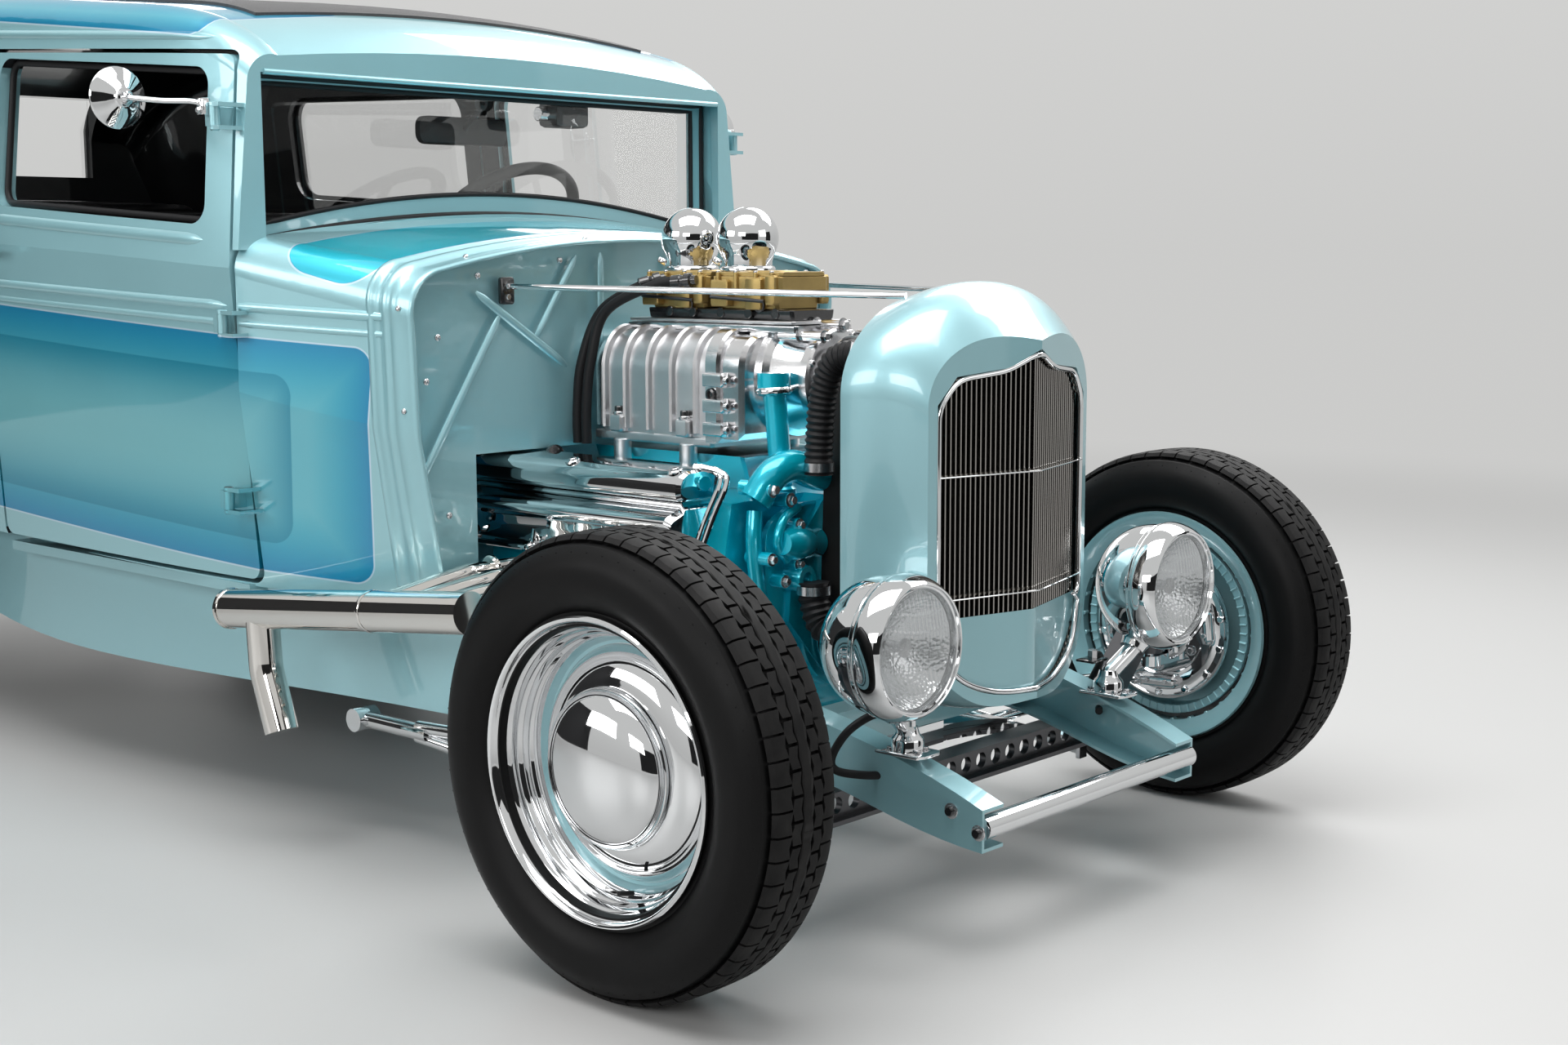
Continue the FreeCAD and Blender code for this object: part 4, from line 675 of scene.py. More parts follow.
def wheel(name, body, rim_half, side, centre):
    """The chrome wheel with its rolled rim, disc and cap, and the brake drum behind, with a black ring as
    painted shade in the gap between them.
    """
    piece = Piece(name + "_detail", CHROME, DARK_STEEL, RUBBER, FRAME_PAINT, BLACK)
    out = Vector((0, side, 0))
    centre = Vector(centre)
    piece.lathe(wheel_profile(rim_half), centre, out, 128, 0, caps=False)
    flange = ((0.02, 0.178), (0.011, 0.1905), (0.008, 0.2), (0.006, 0.2072), (0.0015, 0.205),
              (0.003, 0.199), (0.008, 0.19), (0.02, 0.1745))
    inside = ([(0.018, 0.178)] + [(-rim_half + inset, radius) for inset, radius in flange]
              + [(0.01, 0.1745), (-0.004, 0.165), (-0.01, 0.143)])
    piece.lathe(inside, centre, out, 96, 3, caps=False)
    drum = ((-0.0105, 0.164), (-0.044, 0.164), (-0.0455, 0.1625), (-0.0455, 0.15), (-0.044, 0.1485),
            (-0.03, 0.147), (-0.016, 0.146), (-0.016, 0.03))
    piece.lathe(drum, centre, out, 96, 3, caps=False)
    # A black ring closes the gap between the drum and the rim's barrel: painted shade in that gap.
    piece.lathe(((-0.036, 0.164), (-0.036, 0.1746)), centre, out, 72, 4, caps=False)
    for index, (c, s) in enumerate(turns(60)):
        away = Vector((c, 0, s))
        near = centre - out * 0.0462 + away * 0.1495
        piece.rod(near, near + away * 0.0135, 0.0019, 3, 8)
        if index % 2 == 0:
            seat = centre + away * 0.1758
            piece.rod(seat - out * (rim_half - 0.022), seat - out * (rim_half - 0.036), 0.0044, 3, 10, 0.001)
    stem = centre + out * 0.026 + Vector((0.03, 0, -0.165))
    piece.rod(stem, stem + out * 0.026 + Vector((0, 0, 0.006)), 0.0036, 2, 12)
    piece.build(body, name, slot="chrome", sharp=40)


def wheels():
    """The four wheels with their tyres, larger at the rear."""
    front = (0.0, FRONT_TRACK, FRONT_RADIUS, 0.0825, 0.054, 0.062, 0.0725, 62)
    rear = (-WHEELBASE, REAR_TRACK, REAR_RADIUS, 0.1175, 0.093, 0.097, 0.1075, 66)
    for end, sizes in (("front_", front), ("rear_", rear)):
        x, track, radius, half, tread_half, bead_half, rim_half, pitches = sizes
        for side_name, side in SIDES:
            name = end + side_name
            centre = (NOSE + x, side * track / 2, radius)
            tyre("tyre_" + name, "wheel_" + name, radius, half, tread_half, bead_half, centre, pitches)
            wheel("wheel_" + name, "wheel_" + name, rim_half, side, centre)


# The engine


def spot(x, y, z):
    """A point measured from the front axle's middle line at ground level."""
    return Vector((NOSE + x, y, z))


def prism(piece, outline, start, end, finish=0, ease=0.004, side=1):
    """A section of (y, z) points carried along X, drawn in a little at both ends."""
    middle_y = sum(y for y, z in outline) / len(outline)
    middle_z = sum(z for y, z in outline) / len(outline)
    reach = max(max(abs(y - middle_y), abs(z - middle_z)) for y, z in outline)
    sign = 1 if end > start else -1
    stations = ((start, ease * 1.6), (start + sign * ease, 0.0), (end - sign * ease, 0.0), (end, ease * 1.6))
    rows = []
    for x, inset in stations:
        share = 1 - inset / reach
        rows.append([spot(x, side * (middle_y + (y - middle_y) * share),
                          middle_z + (z - middle_z) * share) for y, z in outline])
    piece.skin(rows, finish)


def rounded(corners, radius, steps=5):
    """A polygon with each corner turned into an arc."""
    points = []
    count = len(corners)
    for index in range(count):
        corner = Vector(corners[index])
        before = Vector(corners[index - 1]) - corner
        after = Vector(corners[(index + 1) % count]) - corner
        setback = min(radius, before.length * 0.45, after.length * 0.45)
        start = corner + before.normalized() * setback
        end = corner + after.normalized() * setback
        for step in range(steps + 1):
            t = step / steps
            points.append(tuple(start * (1 - t) ** 2 + corner * 2 * t * (1 - t) + end * t * t))
    return points


def slab(piece, low, high, corner, start, end, finish=0):
    """A bar across the car; low and high are the (half width, z) of its lower and upper face."""
    outline = (low, high, (-high[0], high[1]), (-low[0], low[1]))
    prism(piece, rounded(outline, corner), start, end, finish)


def box(piece, inner, outer, low, high, corner, start, end, finish=0, ease=0.004, side=1):
    """A bar on one side of the car, from inner to outer and low to high."""
    outline = ((inner, low), (outer, low), (outer, high), (inner, high))
    prism(piece, rounded(outline, corner), start, end, finish, ease, side)


COVER_BACK = -0.808
COVER_FRONT = -0.288
COVER_LID = ((0.206, 0.606), (0.206, 0.642), (0.218, 0.652), (0.29, 0.649), (0.304, 0.642),
             (0.311, 0.63), (0.312, 0.612), (0.307, 0.604), (0.292, 0.602))
COVER_BODY = ((0.214, 0.6), (0.292, 0.6), (0.294, 0.592), (0.324, 0.58), (0.331, 0.573),
              (0.33, 0.563), (0.319, 0.553), (0.309, 0.536), (0.304, 0.52), (0.303, 0.509),
              (0.318, 0.505), (0.32, 0.496), (0.304, 0.492), (0.254, 0.4985))


def valve_covers():
    """Chrome covers with a raised lid, a groove below it and a creased lower half."""
    piece = Piece("valve_cover_detail", CHROME, STEEL, BLACK)
    for side in (RIGHT, LEFT):
        prism(piece, rounded(COVER_LID, 0.004, 3), COVER_BACK, COVER_FRONT, 0, 0.006, side)
        prism(piece, rounded(COVER_BODY, 0.005, 3), COVER_BACK + 0.004, COVER_FRONT - 0.004, 0, 0.01, side)
        slope = Vector((0, side * 0.25, 0.97))
        for share in (0.05, 0.5, 0.95):
            x = COVER_BACK + (COVER_FRONT - COVER_BACK) * share
            boss = ((0, 0.0125), (0.003, 0.0125), (0.0045, 0.011), (0.0045, 0.008))
            piece.lathe(boss, spot(x, side * 0.292, 0.6475), slope, 24)
            piece.socket_screw(spot(x, side * 0.292, 0.6505), slope, 0.0065, 0.004, 1, 2)
        for share in (0.04, 0.34, 0.66, 0.96):
            x = COVER_BACK + (COVER_FRONT - COVER_BACK) * share
            at = spot(x, side * 0.316, 0.5035)
            piece.bolt(at, (0, side * 0.5, 0.86), 0.0065, 0.006)
            piece.rod(at + Vector((0, -side * 0.008, 0.004)), at + Vector((0, -side * 0.014, 0.03)),
                      0.0055, 0, 12)
        lines = ((-0.3, 0.262, 0.655), (-0.262, 0.256, 0.648), (-0.246, 0.262, 0.632),
                 (-0.252, 0.29, 0.575), (-0.262, 0.318, 0.5))
        for shift in (0.0, 0.013):
            path = smooth_path([spot(x + shift, side * y, z) for x, y, z in lines], 10)
            piece.tube(path, 0.005, 0, 12)
    piece.build("chassis", "valve_covers", slot="chrome", sharp=28)


def case_outline(half, low, high, crown):
    """The blower's section, with straight flanks and a broad arch, as (y, z)."""
    points = [(half, low), (half, high - crown)]
    for step in range(1, 12):
        angle = math.pi / 2 * step / 12
        points.append((half - crown * 0.85 * (1 - math.cos(angle)), high - crown + crown * math.sin(angle)))
    return points + [(-y, z) for y, z in reversed(points)]


def blower():
    """The blower with its end covers, legs, drive snout and the plate under the carburettors."""
    piece = Piece("blower_detail", CAST, POLISHED, BLACK, STEEL)
    prism(piece, case_outline(0.128, 0.672, 0.856, 0.07), -0.652, -0.402)
    for x in (-0.64, -0.59, -0.535, -0.48, -0.425):
        rows = []
        for offset, lift in ((-0.0058, 0.0), (-0.0036, 0.0075), (0.0, 0.0105), (0.0036, 0.0075),
                             (0.0058, 0.0)):
            fin = case_outline(0.1275 + lift, 0.69, 0.8555 + lift * 0.8, 0.07)
            rows.append([spot(x + offset, y, z) for y, z in fin])
        made = piece.grid(rows)
        for column in (0, -1):
            piece.cap([row[column] for row in made])
    slab(piece, (0.132, 0.668), (0.132, 0.684), 0.004, -0.668, -0.388)
    for half, low, high, crown, start, end, ease in (
            (0.134, 0.676, 0.862, 0.06, -0.404, -0.372, 0.004),
            (0.128, 0.684, 0.852, 0.056, -0.372, -0.326, 0.006),
            (0.118, 0.69, 0.846, 0.06, -0.69, -0.65, 0.014)):
        prism(piece, case_outline(half, low, high, crown), start, end, 1, ease)
    for side in (RIGHT, LEFT):
        for z in (0.7, 0.738, 0.78):
            lug = ((0.128, z - 0.013), (0.146, z - 0.011), (0.146, z + 0.011), (0.128, z + 0.013))
            prism(piece, rounded(lug, 0.004), -0.398, -0.352, 1, 0.003, side)
            piece.socket_screw(spot(-0.352, side * 0.138, z), X_WAY, 0.006, 0.006, 3, 2)
        piece.lathe(((0, 0.011), (0.005, 0.01), (0.006, 0.006), (0.002, 0.004)),
                    spot(-0.385, side * 0.134, 0.756), (0, side, 0), 20, 2)
        for x in (-0.602, -0.446):
            foot = ((0.124, 0.684), (0.146, 0.684), (0.146, 0.712), (0.124, 0.716))
            prism(piece, rounded(foot, 0.004), x - 0.014, x + 0.014, 0, 0.003, side)
            piece.rod(spot(x, side * 0.136, 0.712), spot(x, side * 0.136, 0.718), 0.01, 3, 20)
            piece.socket_screw(spot(x, side * 0.136, 0.718), Z_WAY, 0.0075, 0.009, 2, 2)
            piece.rod(spot(x, side * 0.128, 0.63), spot(x, side * 0.128, 0.672), 0.015, 0, 24)
    for x in (-0.36, -0.3, -0.244):
        piece.rod(spot(x - 0.02, 0.0, 0.868), spot(x + 0.024, 0.0, 0.868), 0.0085, 1, 20)
        piece.bolt(spot(x + 0.024, 0.0, 0.868), X_WAY, 0.0085, 0.008, 3)
    for x in (-0.34, -0.28, -0.228):
        for side in (RIGHT, LEFT):
            end = spot(x + 0.02, side * 0.06, 0.852)
            piece.rod(spot(x - 0.018, side * 0.066, 0.852), end, 0.0075, 1, 20)
            piece.bolt(end, X_WAY, 0.0075, 0.007, 3)
    snout = ((0.0, 0.098), (0.018, 0.096), (0.026, 0.086), (0.06, 0.074), (0.084, 0.07), (0.088, 0.084),
             (0.102, 0.084), (0.106, 0.08), (0.106, 0.052), (0.124, 0.05), (0.124, 0.02))
    piece.lathe(snout, spot(-0.33, 0, 0.78), X_WAY, 72, 1)
    for c, s in turns(8, shift=0.5):
        piece.socket_screw(spot(-0.226, 0.077 * c, 0.78 + 0.077 * s), X_WAY, 0.0055, 0.006, 3, 2)
    slab(piece, (0.072, 0.856), (0.072, 0.868), 0.003, -0.646, -0.258, 1)
    slab(piece, (0.074, 0.8695), (0.074, 0.8745), 0.002, -0.64, -0.262)
    for index, x in enumerate((-0.56, -0.5, -0.44, -0.372, -0.318)):
        piece.rod(spot(x, -0.034, 0.884), spot(x, -0.056 - 0.006 * (index % 2), 0.886), 0.009, 2, 16)
    slab(piece, (0.052, 0.8745), (0.056, 0.892), 0.004, -0.612, -0.282, 2)
    prism(piece, ((0.092, 0.598), (0.112, 0.655), (-0.112, 0.655), (-0.092, 0.598)), -0.69, -0.34, 1)
    piece.build("chassis", "blower", slot="polished_alloy", sharp=30)


def carburettors():
    """Two gold carburettors with bowls, ribs, screws, linkage and fuel fittings."""
    piece = Piece("carburettor_detail", GOLD, DARK_STEEL, BLACK, STEEL)
    for x in (-0.54, -0.378):
        slab(piece, (0.052, 0.892), (0.056, 0.922), 0.003, x - 0.062, x + 0.062)
        slab(piece, (0.06, 0.922), (0.06, 0.946), 0.003, x - 0.076, x + 0.076)
        slab(piece, (0.058, 0.946), (0.055, 0.953), 0.002, x - 0.074, x + 0.074)
        for side in (RIGHT, LEFT):
            for start, end, low, high in ((-0.072, -0.034, 0.896, 0.94), (0.006, 0.04, 0.892, 0.944),
                                          (0.05, 0.07, 0.9, 0.948)):
                box(piece, 0.052, 0.069, low, high, 0.003, x + start, x + end, 0, 0.002, side)
            for shift in (-0.06, -0.02, 0.024, 0.06):
                head = spot(x + shift, side * 0.062, 0.952)
                piece.rod(spot(x + shift, side * 0.062, 0.924), head, 0.0042, 0, 12)
                piece.socket_screw(head, Z_WAY, 0.0036, 0.003, 3, 2)
            piece.rod(spot(x - 0.07, side * 0.07, 0.912), spot(x + 0.05, side * 0.07, 0.906), 0.0032, 1, 10)
            piece.lathe(((0, 0.012), (0.004, 0.012), (0.005, 0.01)), spot(x + 0.03, side * 0.058, 0.9),
                        (0, side, 0), 20, 1)
        piece.lathe(((0, 0.0465), (0.005, 0.0465), (0.0065, 0.044)), spot(x, 0, 0.9485), Z_WAY, 48)
    piece.build("chassis", "carburettors", slot="gold_casting", sharp=30)


def scoops():
    """Two chrome air scoops: round bonnets on the carburettors, with the mouth to the rear."""
    piece = Piece("air_scoop_detail", CHROME, BLACK, STEEL)
    ball = 0.052
    cut = 0.033
    for x in (-0.558, -0.428):
        centre = spot(x, 0, 1.0085)
        profile = [(-0.0505, 0.0405), (-0.038, 0.041), (-0.03, 0.0435)]
        for step in range(19):
            angle = -0.52 + (math.pi / 2 + 0.52 - 0.1) * step / 18
            profile.append((ball * math.sin(angle), ball * math.cos(angle)))
        made = piece.lathe(profile, centre, Z_WAY, 56, 0, caps=False)
        piece.cap(made[-1])
        verts = [vertex for row in made for vertex in row]
        faces = dict.fromkeys(face for vertex in verts for face in vertex.link_faces)
        edges = dict.fromkeys(edge for face in faces for edge in face.edges)
        way = Vector((-0.88, 0.1, -0.47)).normalized()
        bmesh.ops.bisect_plane(piece.mesh, geom=verts + list(edges) + list(faces),
                               plane_co=centre + way * cut, plane_no=way, clear_outer=True)
        size = math.sqrt(ball ** 2 - cut ** 2)
        turn = Matrix.Translation(centre + way * cut) @ axis_turn(way)
        ring = [(index, turn @ Vector((size * c, size * s, 0.0))) for index, (c, s) in enumerate(turns(40))]
        ring = [(index, at) for index, at in ring if at.z > 0.966]
        start = max(range(len(ring)), key=lambda i: (ring[i][0] - ring[i - 1][0]) % 40)
        piece.tube([at for index, at in ring[start:] + ring[:start]], 0.0022, 0, 10)
        foot = ((0, 0.046), (0.004, 0.0465), (0.007, 0.045), (0.009, 0.0415))
        piece.lathe(foot, spot(x, 0, 0.9535), Z_WAY, 48)
        knob = spot(x - 0.036, -0.042, 0.972)
        piece.rod(spot(x - 0.03, -0.034, 0.966), knob, 0.0052, 0, 14)
        piece.socket_screw(knob, (-0.5, -0.7, 0.5), 0.0048, 0.004, 2, 1)
    piece.build("chassis", "air_scoops", slot="chrome", sharp=50)


def ribbed_hose(piece, path, radius, pitch, depth, finish):
    """A corrugated hose: rings along a smooth path."""
    spots = [Vector(point) for point in path]
    lengths = [0.0]
    for before, after in zip(spots, spots[1:]):
        lengths.append(lengths[-1] + (after - before).length)
    total = lengths[-1]
    count = max(int(total / pitch), 3) * 6
    centres = []
    index = 0
    for step in range(count + 1):
        along = total * step / count
        while index < len(lengths) - 2 and lengths[index + 1] < along:
            index += 1
        share = (along - lengths[index]) / max(lengths[index + 1] - lengths[index], 1e-9)
        centres.append(spots[index].lerp(spots[index + 1], share))
    rows = []
    up = Vector((0, 1, 0))
    for step, centre in enumerate(centres):
        way = (centres[min(step + 1, count)] - centres[max(step - 1, 0)]).normalized()
        side = way.cross(up).normalized()
        up = side.cross(way).normalized()
        size = radius + depth * math.cos(2 * math.pi * step / 6)
        rows.append([centre + (side * c + up * s) * size for c, s in turns(28)])
    piece.skin(rows, finish)


def clamp(piece, at, way, radius, finish):
    """A hose clamp: a thin band with a screw box."""
    way = Vector(way)
    band = ((-0.007, radius), (-0.007, radius + 0.0014), (0.007, radius + 0.0014), (0.007, radius))
    piece.lathe(band, at, way, 36, finish)
    out = way.cross(Vector((0, 0.3, 1))).normalized()
    middle = at + out * (radius + 0.005)
    along = way.cross(out) * 0.01
    piece.rod(middle - along, middle + along, 0.005, finish, 12)


def hoses():
    """The two corrugated coolant hoses with their clamps, and the two fuel hoses."""
    piece = Piece("hose_detail", RUBBER, STEEL, BLACK)
    upper = ((-0.168, 0.64), (-0.166, 0.7), (-0.156, 0.775), (-0.128, 0.822), (-0.0663, 0.832))
    lower = ((-0.17, 0.47), (-0.168, 0.44), (-0.152, 0.404), (-0.12, 0.391), (-0.0723, 0.39))
    for y, line, sizes, clamps, band in (
            (-0.12, upper, (0.0215, 0.0105, 0.0016), ((-0.168, 0.652), (-0.076, 0.832)), 0.0235),
            (-0.13, lower, (0.0235, 0.012, 0.0018), ((-0.1695, 0.458), (-0.084, 0.39)), 0.0258)):
        ribbed_hose(piece, smooth_path([spot(x, y, z) for x, z in line]), *sizes, 0)
        for (x, z), way in zip(clamps, (Z_WAY, X_WAY)):
            clamp(piece, spot(x, y, z), way, band, 1)
    for index, x in enumerate((-0.65, -0.628)):
        back = 1 - index
        route = smooth_path([spot(-0.498 - 0.075 * back, -0.074, 0.938),
                             spot(-0.56 - 0.03 * back, -0.09, 0.93),
                             spot(x - 0.02, -0.11 - 0.01 * index, 0.885), spot(x - 0.036, -0.142, 0.8),
                             spot(x - 0.04, -0.15, 0.72), spot(x - 0.04, -0.15, 0.66)], 10)
        piece.tube(route, 0.0088, 0, 16)
        start = route[0]
        way = (route[0] - route[2]).normalized()
        fitting = ((-0.03, 0.0095), (-0.028, 0.011), (-0.012, 0.0112), (-0.01, 0.0095), (-0.004, 0.0095),
                   (-0.003, 0.0125), (0.008, 0.0125), (0.01, 0.008), (0.018, 0.0078))
        piece.lathe(fitting, start, way, 20, 2)
        piece.rod(start + way * 0.004, start + Vector((0.004, 0.018, 0)), 0.0085, 2, 16)
    piece.build("chassis", "hoses", slot="black_rubber", sharp=35)


def castings():
    """Teal castings at the engine's front: crossover, pump housing, bosses and ribs."""
    piece = Piece("engine_castings", ENGINE, STEEL, BLACK, CHROME)
    duct = ((-0.225, -0.205, 0.602), (-0.212, -0.18, 0.64), (-0.206, -0.14, 0.652), (-0.205, -0.08, 0.634),
            (-0.205, -0.02, 0.63), (-0.205, 0.06, 0.634), (-0.206, 0.14, 0.65), (-0.212, 0.18, 0.636),
            (-0.225, 0.205, 0.602))
    piece.tube(smooth_path([spot(*point) for point in duct], 10), 0.026, 0, 24)
    for side in (RIGHT, LEFT):
        for start, end, way, size in (
                ((0.212, 0.622), (-0.196, 0.196, 0.62), (1, 0.1 * -side, 0), 0.0085),
                ((0.156, 0.6), (-0.198, 0.152, 0.6), X_WAY, 0.008)):
            head = spot(end[0], side * end[1], end[2])
            piece.rod(spot(-0.25, side * start[0], start[1]), head, 0.0125, 0, 24)
            piece.bolt(head, way, size, 0.008, 1)
        rib = ((-0.226, 0.205, 0.585), (-0.222, 0.212, 0.54), (-0.222, 0.206, 0.48), (-0.224, 0.19, 0.42),
               (-0.228, 0.172, 0.372))
        piece.tube(smooth_path([spot(x, side * y, z) for x, y, z in rib]), 0.013, 0, 18)
        barrel = ((-0.052, 0.022), (-0.05, 0.0245), (-0.02, 0.0245), (-0.012, 0.028), (0.02, 0.028),
                  (0.03, 0.024), (0.046, 0.018))
        piece.lathe(barrel, spot(-0.198, side * 0.135, 0.53), (0.15, side, 0.1), 32)
        for y, z in ((0.14, 0.56), (0.141, 0.498), (0.174, 0.474), (0.205, 0.512)):
            piece.rod(spot(-0.24, side * y, z), spot(-0.19, side * y, z), 0.011, 0, 20)
            piece.bolt(spot(-0.19, side * y, z), X_WAY, 0.007, 0.007, 1)
        inlet = ((0, 0.024), (0.03, 0.0225), (0.034, 0.02), (0.034, 0.011), (0.026, 0.01), (0.026, 0.0))
        piece.lathe(inlet, spot(-0.214, side * 0.132, 0.474), X_WAY, 36)
        loop = ((-0.206, 0.128, 0.586), (-0.196, 0.172, 0.57), (-0.196, 0.185, 0.535), (-0.2, 0.16, 0.505))
        piece.tube(smooth_path([spot(x, side * y, z) for x, y, z in loop]), 0.008, 0, 14)
    cover = ((0.19, 0.41), (0.19, 0.56), (0.12, 0.59), (-0.12, 0.59), (-0.19, 0.56), (-0.19, 0.41),
             (-0.1, 0.33), (0.1, 0.33))
    prism(piece, rounded(cover, 0.03), -0.232, -0.214)
    filler = [spot(-0.262, -0.1, 0.59), spot(-0.266, -0.1, 0.64), spot(-0.279, -0.1, 0.764)]
    piece.tube(smooth_path(filler), 0.0185, 0, 28)
    collar = ((0, 0.02), (0.004, 0.024), (0.012, 0.024), (0.016, 0.0195))
    piece.lathe(collar, spot(-0.2632, -0.1, 0.596), (-0.05, 0, 1), 32)
    cap = ((0.0, 0.021), (0.004, 0.0295), (0.008, 0.0305), (0.012, 0.029), (0.014, 0.0262), (0.026, 0.0262),
           (0.032, 0.0245), (0.036, 0.02), (0.038, 0.012), (0.0388, 0.0))
    piece.lathe(cap, spot(-0.279, -0.1, 0.757), (-0.08, 0, 1), 48, 3)
    for index in range(5):
        z = 0.44 + 0.03 * index
        piece.rod(spot(-0.795, -0.236, z), spot(-0.3, -0.236, z), 0.0035, 0, 10)
    piece.build("chassis", slot="engine_paint", sharp=35)


def belt():
    """The toothed blower belt and its two pulleys."""
    piece = Piece("belt_detail", BELT, POLISHED, BLACK)
    top, foot = 0.78, 0.375
    upper, lower = 0.066, 0.082
    lean = math.asin((lower - upper) / (top - foot))
    outline = []
    for radius, height, first, sweep, steps in ((upper, top, lean, math.pi - 2 * lean, 24),
                                                (lower, foot, math.pi - lean, math.pi + 2 * lean, 32)):
        for step in range(steps + 1):
            angle = first + sweep * step / steps
            outline.append(Vector((radius * math.cos(angle), height + radius * math.sin(angle))))
    spots = closed_path(outline, 0.006)
    rows = []
    for index, point in enumerate(spots):
        way = (spots[(index + 1) % len(spots)] - spots[index - 1]).normalized()
        out = Vector((way.y, -way.x))
        tooth = 0.0032 if index % 2 else 0.0
        inner = point - out * (0.003 + tooth)
        outer = point + out * 0.0028
        rows.append([spot(-0.196, *inner), spot(-0.196, *outer), spot(-0.144, *outer), spot(-0.144, *inner)])
    piece.grid(rows, 0, close_rows=True, close_columns=True)
    for z, radius in ((top, 0.0605), (foot, 0.0765)):
        rim = radius + 0.012
        pulley = ((-0.2, rim), (-0.197, rim), (-0.197, radius), (-0.143, radius), (-0.143, rim), (-0.14, rim),
                  (-0.14, radius - 0.014), (-0.15, radius - 0.02), (-0.15, 0.03), (-0.136, 0.028),
                  (-0.136, 0.01))
        piece.lathe(pulley, spot(0, 0, z), X_WAY, 64, 1)
        for c, s in turns(5):
            piece.socket_screw(spot(-0.15, 0.034 * c, z + 0.034 * s), X_WAY, 0.005, 0.006, 1, 2)
    piece.build("chassis", "blower_drive", slot="black_rubber", sharp=35)


# The body


def surface_of(*names):
    """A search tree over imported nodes, for laying lines on them."""
    points = []
    faces = []
    for name in names:
        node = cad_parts[name]
        first = len(points)
        points += [node.matrix_world @ vertex.co for vertex in node.data.vertices]
        faces += [tuple(first + index for index in face.vertices) for face in node.data.polygons]
    return BVHTree.FromPolygons(points, faces)


def flank_point(tree, x, z, side):
    """The outermost point of the body's side at a station and height, with its normal."""
    return tree.ray_cast(spot(x, side * 1.2, z), Vector((0, -side, 0)), 1.0)[:2]


def belt_height(x):
    """The height of the body's bright-edged belt line at a station."""
    if x > -1.083:
        return 0.886 + (0.906 - 0.886) * (x + 0.642) / (-1.083 + 0.642)
    return 0.906 + (0.938 - 0.906) * (x + 1.083) / (-1.818 + 1.083)


def bead(piece, tree, stations, height, side, half, rise):
    """A half-round raised line on the flank, following height(x)."""
    rows = []
    section = 7
    for index, x in enumerate(stations):
        hit, normal = flank_point(tree, x, height(x), side)
        if hit is None:
            continue
        share = min(index, len(stations) - 1 - index) / 2
        swell = min(1.0, math.sqrt(min(share, 1.0)) + 0.05)
        out = normal * (1 if normal.y * side > 0 else -1)
        up = (Vector((0, 0, 1)) - out * out.z).normalized()
        row = []
        for step in range(section):
            angle = math.pi * step / (section - 1)
            row.append(hit + up * (math.cos(angle) * half * swell)
                       + out * (math.sin(angle) * rise * swell - 0.0004))
        rows.append(row)
    piece.grid(rows)


def spread(start, end, gap=0.02):
    """Even stations between two, about a gap apart."""
    count = max(int(abs(end - start) / gap), 2)
    return [start + (end - start) * index / count for index in range(count + 1)]


def belt_lines(piece, tree, start, end, side):
    """The belt's two beads between two stations."""
    for drop, half, rise in ((0.006, 0.0085, 0.0052), (0.034, 0.006, 0.0032)):
        bead(piece, tree, spread(start, end), lambda x: belt_height(x) - drop, side, half, rise)


def body_beads():
    """The belt beads on the flanks, in one piece for each panel."""
    shell = surface_of("body_shell", "cowl")
    fixed = Piece("belt_bead", PAINT)
    for side in (RIGHT, LEFT):
        belt_lines(fixed, shell, -0.716, -1.0415, side)
        belt_lines(fixed, shell, -1.818, -3.02, side)
    fixed.build("chassis", slot="body_paint", sharp=50)
    for name, side in SIDES:
        piece = Piece("door_bead_" + name, PAINT)
        belt_lines(piece, surface_of("door_" + name), -1.049, -1.808, side)
        piece.build("door_" + name, slot="body_paint", sharp=50)


# The cowl's front and the next station: x, then half widths and heights up the side, and the crown.
COWL_FRONT = (-0.71, 0.462, 0.416, 0.51, 0.7, 0.516, 0.88, 1.012)
COWL_NEXT = (-0.82, 0.502, 0.418, 0.545, 0.72, 0.548, 0.906, 1.026)


def arc_through(first, middle, last, steps):
    """Points on the circle through three points, without the last one."""
    (x1, y1), (x2, y2), (x3, y3) = first, middle, last
    scale = 2 * (x1 * (y2 - y3) + x2 * (y3 - y1) + x3 * (y1 - y2))
    s1, s2, s3 = x1 * x1 + y1 * y1, x2 * x2 + y2 * y2, x3 * x3 + y3 * y3
    cx = (s1 * (y2 - y3) + s2 * (y3 - y1) + s3 * (y1 - y2)) / scale
    cy = (s1 * (x3 - x2) + s2 * (x1 - x3) + s3 * (x2 - x1)) / scale
    radius = math.hypot(x1 - cx, y1 - cy)
    angles = [math.atan2(y - cy, x - cx) for x, y in (first, middle, last)]
    turn = (angles[2] - angles[0]) % (2 * math.pi)
    if (angles[1] - angles[0]) % (2 * math.pi) > turn:
        turn -= 2 * math.pi
    return [(cx + radius * math.cos(angles[0] + turn * step / steps),
             cy + radius * math.sin(angles[0] + turn * step / steps)) for step in range(steps)]


def line_through(first, last, steps):
    """Points on a straight line, without the last one."""
    return [(first[0] + (last[0] - first[0]) * step / steps, first[1] + (last[1] - first[1]) * step / steps)
            for step in range(steps)]


